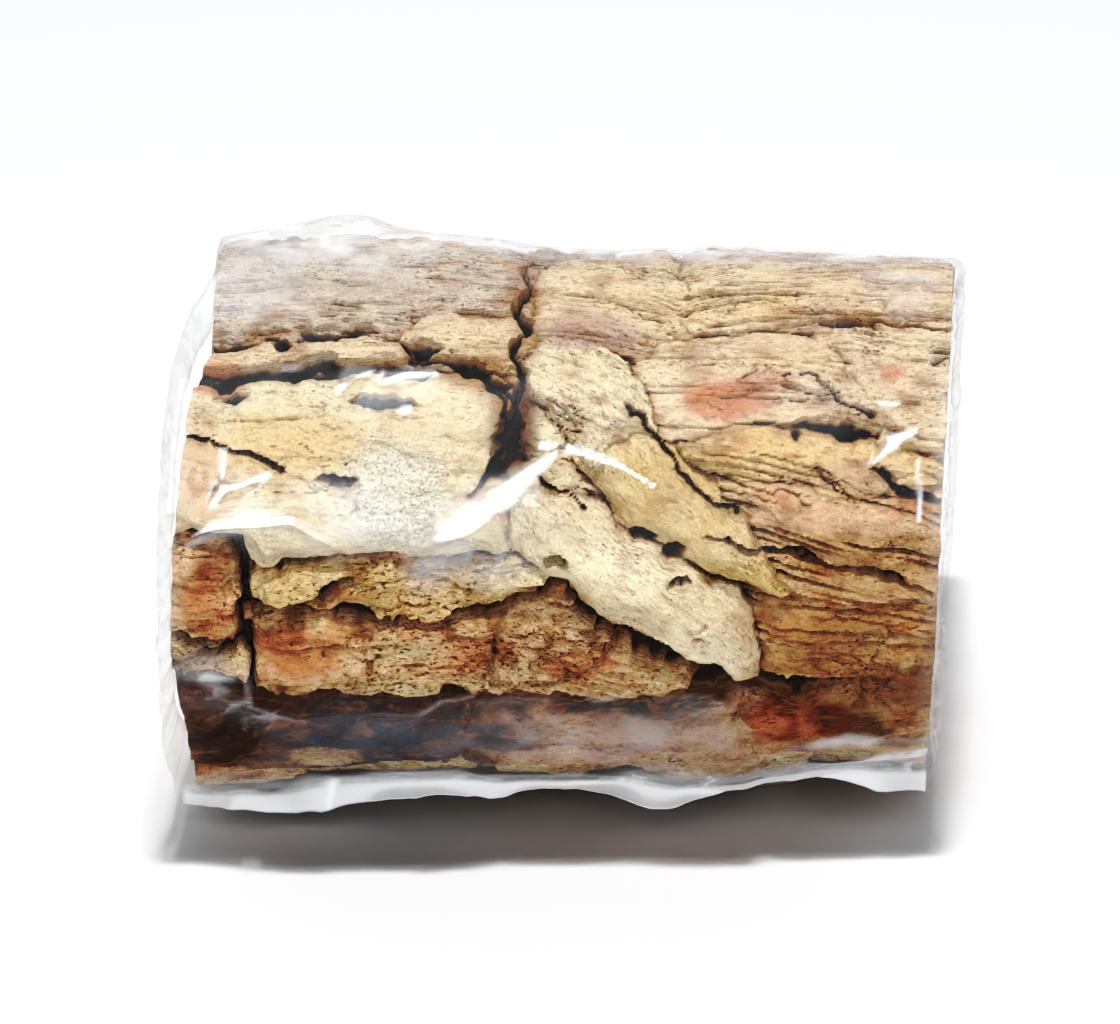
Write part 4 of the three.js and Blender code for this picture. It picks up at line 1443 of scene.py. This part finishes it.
@dataclass
class FilmWrap:
    """The film: a shrunk sleeve that settles on the bark's high points and turns in at both ends."""

    form: TubeForm
    around: int = 264
    along: int = 196
    mesh_around: int = 440
    end_rings: int = 14
    clear: float = 0.25
    settle_rounds: int = 600
    stiff_rows: int = 2
    stiff_columns: int = 2
    overhang: float = 3.0
    hole_radius: float = 58.0
    flat: tuple[float, float] = (0.49, 0.25)
    fin_line: float = -106.0
    fin_half: float = 1.5
    fin_columns: float = 10.0
    fin_depths: Line = (
        (-100, 4), (-80, 6), (-68, 9), (-60, 7), (-40, 5.5), (-22, 6), (-8, 2.5), (2, 2.5), (21, 8.5),
        (34, 4), (45, 1.5), (66, 2), (83, 6.5), (96, 6), (100, 5),
    )
    lifts: tuple[Slack, ...] = (Slack(-62, 96, 42, 26, 5.0), Slack(78, -86, 26, 16, 3.0))
    creases: tuple[Crease, ...] = (
        Crease(((-39, -15), (-22, -1), (-5, 13)), (1.5, 4.6, 3.2), 0.4, 0.55, 3.5),
        Crease(((-8, 14), (3, 13), (13, 10), (24, 4)), (2.6, 2.6, 0.2), 0.5, 0.6),
        Crease(((-104, -10), (-92, -5), (-73, -3), (-61, -10)), (1.2, 3.0, 0.6), 0.5, 0.6, 1.4),
        Crease(((-94, -1), (-89, 4), (-78, 8)), (0.5, 2.2, 0.3), 0.5, 0.6),
        Crease(((-97, 3), (-95, 10)), (0.5, 1.6, 0.3), 0.5, 0.6),
        Crease(((-66, 22), (-56, 32), (-50, 34)), (0.5, 1.6, 0.5), 0.25, 0.5, 1.2),
        Crease(((-50, 30), (-42, 33), (-34, 34)), (0.5, 1.4, 0.3), 0.25, 0.5, 1.2),
        Crease(((78, 10), (84, 17), (92, 21)), (0.3, 1.8, 0.3), 0.35, 0.5),
        Crease(((-85, -40), (-84, -52), (-70, -60)), (0.6, 1.8, 0.8), 0.5, 0.3),
        Crease(((-55, -57), (-40, -57), (-27, -50)), (0.6, 1.8, 0.6), 0.5, 0.3),
        Crease(((0, -49), (7, -52), (17, -49)), (0.4, 1.6, 0.4), 0.5, 0.3),
        Crease(((-50, 98), (-38, 84), (-30, 70)), (2.0, 1.6, 0.4), 0.4, 0.4),
        Crease(((20, 96), (30, 84), (33, 74)), (1.6, 1.2, 0.3), 0.4, 0.4),
        Crease(((-34, 108), (-20, 100), (-6, 96)), (1.6, 2.0, 1.4), 0.35, 0.35),
        Crease(((4, 95), (26, 92), (50, 90)), (1.5, 1.6, 1.0), 0.35, 0.35),
    )
    # Painted highlights: strokes of extra mirror share, drawn where the highlights fall.
    painted_highlights: tuple[PaintedHighlight, ...] = (
        PaintedHighlight(((-38, -14.5), (-31.5, -9.5), (-24, -2.5), (-14.7, 5.2), (-4.8, 12)), (6.0, 4.6, 0.8), 0.24),
        PaintedHighlight(((-34, -7), (-24, -5), (-10, 2)), (8, 12, 5), 0.05),
        PaintedHighlight(((-8, 14.6), (2.7, 13.3), (12.6, 9.9), (21, 5.4)), (0.8, 1.0, 0.5), 0.26),
        PaintedHighlight(((-99, -8.6), (-91.6, -4.7), (-84, -3.1), (-73, -3.4)), (1.0, 2.6, 1.8), 0.24),
        PaintedHighlight(((-73, -3.4), (-62.5, -9.6), (-59, -15)), (2.2, 2.8, 1.5), 0.06),
        PaintedHighlight(((-92.4, 1.6), (-89.8, 5.7)), (1.8, 2.3, 1.6), 0.26),
        PaintedHighlight(((-88.2, 3.6), (-83.5, 4.7), (-78.4, 7.8)), (0.8, 1.6, 0.8), 0.24),
        PaintedHighlight(((-90.1, 13.5), (-90, 4.7)), (0.6, 0.9, 0.6), 0.2),
        PaintedHighlight(((-74.6, 34.2), (-71.7, 34.5)), (1.0, 1.3, 1.0), 0.22),
        PaintedHighlight(((-59.6, 28.8), (-57.8, 32.8), (-53, 34)), (1.6, 2.6, 1.6), 0.3),
        PaintedHighlight(((-48.7, 32), (-42, 33), (-36, 34)), (1.8, 2.4, 1.5), 0.28),
        PaintedHighlight(((-44, 23.2), (-42, 23.7)), (1.1, 1.3, 0.9), 0.22),
        PaintedHighlight(((-64, 29), (-50, 27), (-36, 30)), (4.0, 5.0, 4.0), 0.04),
        PaintedHighlight(((-66, 2), (-54, -3), (-42, -8)), (7, 9, 7), 0.03),
        PaintedHighlight(((-100, 6), (-92, 4), (-84, 2)), (6, 8, 6), 0.03),
        PaintedHighlight(((78, 12), (82.8, 16.5), (89.6, 19.4)), (0.8, 2.0, 0.7), 0.28),
        PaintedHighlight(((90.1, 12), (90, -3)), (0.5, 0.6, 0.5), 0.16),
        PaintedHighlight(((80.4, 27), (84.6, 27)), (0.8, 1.2, 0.8), 0.12),
        PaintedHighlight(((-85, -40), (-84.2, -52.7), (-78, -56.4), (-70, -60.6)), (0.7, 1.1, 0.7), 0.16),
        PaintedHighlight(((-55, -57.5), (-40.7, -57.5), (-34, -51.7), (-26, -50.3)), (0.7, 1.1, 0.7), 0.16),
        PaintedHighlight(((2.3, -50), (6.5, -52), (15, -50)), (0.6, 0.9, 0.6), 0.16),
        PaintedHighlight(((56, -82), (73.5, -75), (91.5, -77.5), (99, -75)), (1.2, 3.0, 2.5), 0.35),
    )
    milk_and_sheen_spots: tuple[MilkAndSheen, ...] = (
        MilkAndSheen(-62, 94, 48, 34, 0.48),
        MilkAndSheen(-84, 62, 24, 20, 0.2),
        MilkAndSheen(-10, 98, 60, 20, 0.4),
        MilkAndSheen(60, 97, 56, 20, 0.42),
        MilkAndSheen(88, 70, 20, 18, 0.2),
        MilkAndSheen(0, 150, 130, 50, 0.12),
        MilkAndSheen(-96, -42, 12, 7, 0.3),
        MilkAndSheen(88, -89, 20, 8, 0.5),
        # Painted sheen: a milky spot on the taut film at the front, where the highlights glow.
        MilkAndSheen(-20, -12, 15, 8, 0.22),
        MilkAndSheen(0, -70, 46, 16, 0.13),
        # Painted sheen: milky spots on the taut film along the front, where the highlights glow.
        MilkAndSheen(-24, -6, 30, 14, 0.1),
        MilkAndSheen(-66, -3, 36, 11, 0.12),
    )
    slack_edge: Line = (
        (-104, -38), (-85, -50), (-72, -59), (-56, -57), (-40, -57), (-33, -52), (-13, -50.5), (8, -52),
        (34, -52), (44, -58), (50, -74), (74, -78), (104, -74),
    )
    taut: tuple[Spot, ...] = (Spot(-92, -69, 13, 15), Spot(62, -67, 22, 11))
    slack_haze: float = 0.046
    slack_lift: float = 2.2
    least_haze: float = 0.004
    most_haze: float = 0.9
    top_haze: float = 0.03
    fin_haze: float = 0.62
    end_haze: float = 0.045
    end_shine: float = 0.02
    taut_share: float = 0.85
    lowest: float = 0.03

    def build(self, bark: CorkBark) -> bpy.types.Object:
        """Build the film over the bark.

        Args:
            bark: The bark, after its mesh is built.

        Returns:
            The film's object.
        """
        film = self._stiffened(self._settled(self._held(bark)))
        rows = self.along + 2 * self.end_rings
        mesh, column, ring = rolled_grid("film_wrap_piece", self.mesh_around, rows, closed=False)
        place, looks = self._rings(film)
        mesh.vertices.foreach_set("co", place[ring, column].astype(np.float32).ravel())
        store(mesh, "looks", looks[ring, column])
        mesh.materials.append(FilmFinish().material())
        close_seams(mesh)
        return placed("film_wrap_piece", mesh)

    def _place_on_sleeve(self, angle: Array) -> tuple[Array, Array, Array]:
        """Return x, the angle and s on the sleeve's rings for one row of angles."""
        t = np.linspace(0, 1, self.along + 1)[:, None]
        wide = np.broadcast_to(angle, (self.along + 1, len(angle)))
        x = self.form.between_cuts(t, 1.0, wide, film=True)
        return x, wide, wrapped(wide * MEAN_RADIUS)

    def _held(self, bark: CorkBark) -> Array:
        """Find the least radius of the film, from the bark under it."""
        left = self.form.cut_x(-1, 1.0, bark.outer_angle, film=True)
        right = self.form.cut_x(1, 1.0, bark.outer_angle)
        row = (bark.outer_x - left) / (right - left) * self.along
        column = (bark.outer_angle / (2 * np.pi) * self.around) % self.around
        held = np.zeros((self.along + 1, self.around))
        for add_row in (0, 1):
            for add_column in (0, 1):
                at_row = np.clip(np.floor(row).astype(int) + add_row, 0, self.along)
                at_column = (np.floor(column).astype(int) + add_column) % self.around
                np.maximum.at(held, (at_row, at_column), bark.outer_radius)
        return self._ends_filled(held) + self.clear

    @staticmethod
    def _ends_filled(held: Array) -> Array:
        """Carry the bark's rim on to the film's ends, where the bark is worn back."""
        filled = held.copy()
        middle = len(held) // 2
        for ring in range(middle, -1, -1):
            filled[ring] = np.where(filled[ring] > 0, filled[ring], filled[ring + 1])
        for ring in range(middle, len(held)):
            filled[ring] = np.where(filled[ring] > 0, filled[ring], filled[ring - 1])
        return filled

    def _settled(self, held: Array) -> Array:
        """Pull the film tight, so that it spans between the places that hold it."""
        chord = math.cos(2 * math.pi / self.around)
        film = held.copy()
        for _ in range(self.settle_rounds):
            before = np.roll(film, 1, axis=1)
            after = np.roll(film, -1, axis=1)
            straight = 2 * before * after * chord / (before + after)
            lower = np.vstack([film[:1], film[:-1]])
            upper = np.vstack([film[1:], film[-1:]])
            film = np.maximum(held, 0.5 * straight + 0.25 * (lower + upper))
        return film

    def _stiffened(self, film: Array) -> Array:
        """Round off the film where it turns over high points, and lift it clear of them."""
        soft = film
        for _ in range(2):
            soft = blurred(soft, self.stiff_rows, self.stiff_columns)
        short = np.maximum(film - soft, 0)
        for axis in (0, 1):
            padded = short
            for shift in (-2, -1, 1, 2):
                padded = np.maximum(padded, np.roll(short, shift, axis=axis))
            short = padded
        return soft + blurred(short, 2, 2)

    def _columns(self) -> Array:
        """Return the angles of the mesh's columns, which crowd together at the fin."""
        s = np.linspace(0, GIRTH, 4001)
        density = 1 + self.fin_columns * np.exp(-((wrapped(s - self.fin_line) / (1.5 * self.fin_half)) ** 2))
        total = np.concatenate([[0], np.cumsum(0.5 * (density[1:] + density[:-1]))])
        share = np.arange(self.mesh_around) / self.mesh_around * total[-1]
        return np.interp(share, total, s) / MEAN_RADIUS

    def _lift(self, x: Array, s: Array) -> Array:
        """Give how far slack and creases hold the film off the bark."""
        lift = np.zeros(x.shape)
        for slack in self.lifts:
            lift = np.maximum(lift, slack.off * (1 - smooth(0, 1, slack.away(x, s))))
        for crease in self.creases:
            lift = np.maximum(lift, crease.height(x, s))
        below = at_x(self.slack_edge, x) - s
        return lift + self.slack_lift * smooth(0, 40, below) * (1 - smooth(45, 90, below))

    def _fin(self, x: Array, s: Array) -> tuple[Array, Array]:
        """Give the fin's height at each point, and its height as a share of its full depth."""
        depth = at_x(self.fin_depths, x) + 0.8 * roughness(x / 7, 0 * x, 181, 3, 0.5)
        share = np.clip(1 - np.abs(wrapped(s - self.fin_line)) / self.fin_half, 0, 1)
        return np.maximum(depth, 0.4) * share, share

    def _rings(self, film: Array) -> tuple[Array, Array]:
        """Place the sleeve and its turned-in ends.

        Args:
            film: The sleeve's settled radius on the even grid.

        Returns:
            The places, and the haze and painted shine, by ring and column.
        """
        angle = self._columns()
        x, angles, s = self._place_on_sleeve(angle)
        even = np.arange(self.around + 1) / self.around * 2 * np.pi
        radius = np.stack([np.interp(angle, even, np.append(row, row[0])) for row in film])
        from_end = np.minimum(x - x[:1], x[-1:] - x)
        puckers = 0.5 * roughness(x / 14, s / GIRTH * 70, 211, 2, 0.6, 70) * (1 - smooth(0, 16, from_end))
        fin, fin_share = self._fin(x, s)
        radius = radius + self._lift(x, s) + puckers + 0.25 * (puckers > 0) * puckers + fin
        lean = 0.5 * roughness(x / 22, 0 * x, 221, 2, 0.5) + 0.25
        leaning = angles + lean * fin * fin_share / MEAN_RADIUS
        sleeve = self.form.points(x, radius, leaning, self.lowest)
        haze = self._haze(x, s, from_end, fin_share)
        looks = np.stack([haze, self._painted_shine(x, s, from_end), 0 * x], axis=-1)
        ends = [self._end(radius[index], side, angle) for index, side in ((0, -1), (-1, 1))]
        left_looks, right_looks = self._end_looks(angle, -1), self._end_looks(angle, 1)
        place = np.concatenate([ends[0][::-1], sleeve, ends[1]])
        return place, np.concatenate([left_looks[::-1], looks, right_looks])

    def _haze(self, x: Array, s: Array, from_end: Array, fin_share: Array) -> Array:
        """Give how milky the sleeve is at each point, with the painted sheen along the front."""
        crumple = smooth(-0.45, 0.45, roughness(x / 11, s / GIRTH * 44, 231, 4, 0.6, 44))
        fold_line = np.abs(roughness(x / 20 - s / 60, s / GIRTH * 26, 261, 3, 0.5, 26))
        folds = (1 - smooth(0.0, 0.07, fold_line)) * smooth(-0.1, 0.3, waves(x / 26, s / 26, 271))
        milky = self.top_haze * smooth(8, 32, np.abs(s)) * (s > 0)
        for milk_and_sheen in self.milk_and_sheen_spots:
            milky = np.maximum(milky, milk_and_sheen.strength * (1 - smooth(0.35, 1.0, milk_and_sheen.away(x, s))))
        below = at_x(self.slack_edge, x) - s
        slack = smooth(0, 1.6, below) * (1 - smooth(60, 90, below))
        to_fin = 1 - smooth(0, 16, np.abs(wrapped(s - self.fin_line)))
        milky = np.maximum(milky, slack * (self.slack_haze + 0.3 * to_fin + 0.1 * folds))
        haze = self.least_haze + milky * (0.35 + 0.95 * crumple) + 0.35 * folds * smooth(0.08, 0.3, milky)
        for spot in self.taut:
            haze *= 1 - self.taut_share * (1 - smooth(0.55, 1.1, spot.away(x, s)))
        haze = np.maximum(haze, self.end_haze * (1 - smooth(0, 7, from_end)))
        return np.clip(np.maximum(haze, self.fin_haze * smooth(0.02, 0.3, fin_share)), 0, self.most_haze)

    def _painted_shine(self, x: Array, s: Array, from_end: Array) -> Array:
        """Give the sleeve's painted shine at each point: extra mirror share near its ends and in the painted
        highlight strokes.
        """
        painted_shine = self.end_shine * (1 - smooth(0, 5, from_end))
        for highlight_stroke in self.painted_highlights:
            painted_shine = np.maximum(painted_shine, highlight_stroke.at(x, s))
        return painted_shine

    def _end_looks(self, angle: Array, side: int) -> Array:
        """Give how milky one end is and its painted shine, with pleats that run from its corner to the hole.
        """
        s = wrapped(angle * MEAN_RADIUS)
        t = (np.arange(1, self.end_rings + 1) / self.end_rings)[:, None]
        pleats = np.abs(roughness(t * 1.2 + side, s / GIRTH * 84, 301, 3, 0.6, 84))
        fold = 1 - smooth(0.0, 0.16, pleats)
        edge = smooth(0.86, 1.0, t)
        haze = 0.03 + 0.16 * fold + 0.2 * edge
        return np.stack([haze, 0.01 + 0.05 * fold + 0 * haze, 0 * haze], axis=-1)

    def _end(self, rim: Array, side: int, angle: Array) -> Array:
        """Place the rings of one end, from the sleeve's rim over its corner to the hole."""
        s = wrapped(angle * MEAN_RADIUS)
        t = (np.arange(1, self.end_rings + 1) / self.end_rings)[:, None]
        wavy = 2.0 * roughness(0 * s, s / GIRTH * 14, 191 + side, 3, 0.6, 14)
        pleats = roughness(0 * s + side, s / GIRTH * 70, 201, 2, 0.7, 70)
        radius = rim * (1 - t) + (self.hole_radius + wavy) * t
        rounded = rim - (rim - radius) * t**0.6
        turned = np.sin(np.minimum(t * 2.4, 1) * np.pi / 2) * (1 - 0.7 * smooth(0.3, 1, t))
        past = self.overhang * turned + 0.2 * t + 0.6 * pleats * smooth(0, 0.5, t)
        x = self.form.cut_x(side, rounded / MEAN_RADIUS, angle, film=True) + side * np.maximum(past, 0.3)
        clear = self.form.cut_x(side, rounded / MEAN_RADIUS, angle) + side * self.clear * 2
        x = np.maximum(x, clear) if side > 0 else np.minimum(x, clear)
        return self.form.points(x, rounded, np.broadcast_to(angle, x.shape), self.lowest)

    def dress(self, piece: bpy.types.Object) -> None:
        """Smooth the shading and hand the film over."""
        mesh = piece.data
        mesh.polygons.foreach_set("use_smooth", np.ones(len(mesh.polygons), bool))
        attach(piece, "root")
        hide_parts("film_wrap")


@dataclass(frozen=True)
class Lamp:
    """A rectangular light, and what it lights.

    Its direction is seen from the tube, in degrees: azimuth from the front towards the right, and elevation
    from the floor. distance and size are in metres, and power is in watts.
    """

    name: str
    azimuth: float
    elevation: float
    distance: float
    size: tuple[float, float]
    power: float
    colour: Three = (1.0, 1.0, 1.0)
    seen_in_gloss: bool = False
    lights_matt: bool = True
    lights_floor: bool = True

    def hang(self, floor: bpy.types.Object) -> None:
        """Hang the light, aimed at the middle of the tube, and keep it off the floor where it is to be."""
        light = bpy.data.lights.new(self.name, "AREA")
        light.shape = "RECTANGLE"
        light.size, light.size_y = self.size
        light.energy = self.power
        light.color = self.colour
        lamp = placed(self.name, light)
        turn, rise = math.radians(self.azimuth), math.radians(self.elevation)
        away = Vector((math.sin(turn) * math.cos(rise), -math.cos(turn) * math.cos(rise), math.sin(rise)))
        aim(lamp, Vector((0, AXIS_Y * MM, AXIS_HEIGHT * MM)), away, self.distance)
        lamp.visible_glossy = self.seen_in_gloss
        lamp.visible_diffuse = self.lights_matt
        if not self.lights_floor:
            flagged = bpy.data.collections.new(self.name + "_flag")
            flagged.objects.link(floor)
            flagged.collection_objects[0].light_linking.link_state = "EXCLUDE"
            lamp.light_linking.receiver_collection = flagged


BOX_LIGHT = (0.94, 0.97, 1.0)


@dataclass
class Studio:
    """The white sweep, the lights and the camera."""

    lamps: tuple[Lamp, ...] = (
        Lamp("strip", 0, 82, 2.2, (0.17, 0.08), 36.0),
        Lamp("wide_strip", 0, 81, 2.2, (0.45, 0.18), 15.0),
        Lamp("low_fill", 0, 16, 1.7, (1.6, 0.6), 15.0, lights_floor=False),
        Lamp("front_box", -4, 35, 1.4, (1.9, 1.2), 43.0, BOX_LIGHT, seen_in_gloss=True, lights_matt=False),
        Lamp("top_box", -4, 82, 1.4, (1.2, 0.9), 20.0, BOX_LIGHT, seen_in_gloss=True, lights_matt=False),
    )
    floor_faces: int = 24
    floor_reach: float = 4.0
    sky_colour: Rgba = (0.95, 0.975, 1.0, 1.0)
    sky_rise: tuple[float, float] = (-0.1, 0.75)
    sky_front: float = 0.03
    sky_back: float = 0.7
    sky_sides: float = 0.7
    camera_distance: float = 1.55
    camera_elevation: float = math.radians(30)
    pixels_per_metre: float = 3680.0
    picture_width: float = 1120.0
    sensor: float = 36.0
    aim_x: float = -0.003
    aim_drop: float = 0.0011
    tone_curve: Line = ((0.07, 0.05), (0.17, 0.22), (0.43, 0.54))
    white_from: tuple[float, float] = (0.88, 1.0)

    def build(self) -> None:
        """Build the floor, the lights and the camera."""
        floor = self._floor()
        for lamp in self.lamps:
            lamp.hang(floor)
        self._surroundings()
        self._camera()
        self._develop()

    def _floor(self) -> bpy.types.Object:
        """Lay the floor, and return it."""
        mesh = flat_grid("floor", self.floor_faces, self.floor_faces, self.floor_reach)
        mesh.materials.append(FloorFinish().material())
        floor = placed("floor", mesh)
        return floor

    def _surroundings(self) -> None:
        """Light the surroundings: white walls behind the tube and beside it, and a dim room in front."""
        graph = ShaderGraph(bpy.data.worlds.new("studio"))
        place = graph.add("ShaderNodeTexCoord", {}, {}, "Generated")
        across, back = graph.part(place, "X"), graph.part(place, "Y")
        names = ("Value", "From Min", "From Max", "To Min", "To Max")
        inputs = dict(zip(names, (back, *self.sky_rise, self.sky_front, self.sky_back)))
        ramp = graph.add("ShaderNodeMapRange", {"interpolation_type": "SMOOTHSTEP"}, inputs)
        sides = across * across
        strength = sides * sides * self.sky_sides + ramp
        inputs = {"Color": self.sky_colour, "Strength": strength}
        world = graph.finish(graph.add("ShaderNodeBackground", {}, inputs), "ShaderNodeOutputWorld")
        bpy.context.scene.world = world

    def _camera(self) -> None:
        """Set the camera where the photographer stood."""
        lens = bpy.data.cameras.new("camera")
        lens.sensor_width = self.sensor
        lens.lens = self.sensor * self.camera_distance * self.pixels_per_metre / self.picture_width
        camera = placed("camera", lens)
        cos, sin = math.cos(self.camera_elevation), math.sin(self.camera_elevation)
        away = Vector((0, -cos, sin))
        up = Vector((0, sin, cos))
        target = Vector((self.aim_x, AXIS_Y * MM, AXIS_HEIGHT * MM)) - up * self.aim_drop
        aim(camera, target, away, self.camera_distance)
        bpy.context.scene.camera = camera

    def _develop(self) -> None:
        """Set the picture's tones: deep shadows and bright middle tones."""
        view = bpy.context.scene.view_settings
        view.view_transform = "Standard"
        view.use_curve_mapping = True
        tones = view.curve_mapping.curves[3]
        tones.points[1].location = self.white_from
        for dark, light in self.tone_curve:
            tones.points.new(dark, light)
        view.curve_mapping.update()


def main() -> None:
    """Build every piece in order, and log how many faces the bark and the film have."""
    logging.basicConfig(level=logging.INFO, format="%(name)s: %(message)s")
    form = TubeForm()
    bark = CorkBark(form, BarkRelief(), BarkColour())
    bark_piece = bark.build()
    bark.dress(bark_piece)
    LOG.info("bark: %d faces", len(bark_piece.data.polygons))
    film = FilmWrap(form)
    film_piece = film.build(bark)
    film.dress(film_piece)
    LOG.info("film: %d faces", len(film_piece.data.polygons))
    Studio().build()
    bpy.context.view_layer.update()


if __name__ == "__main__":
    main()
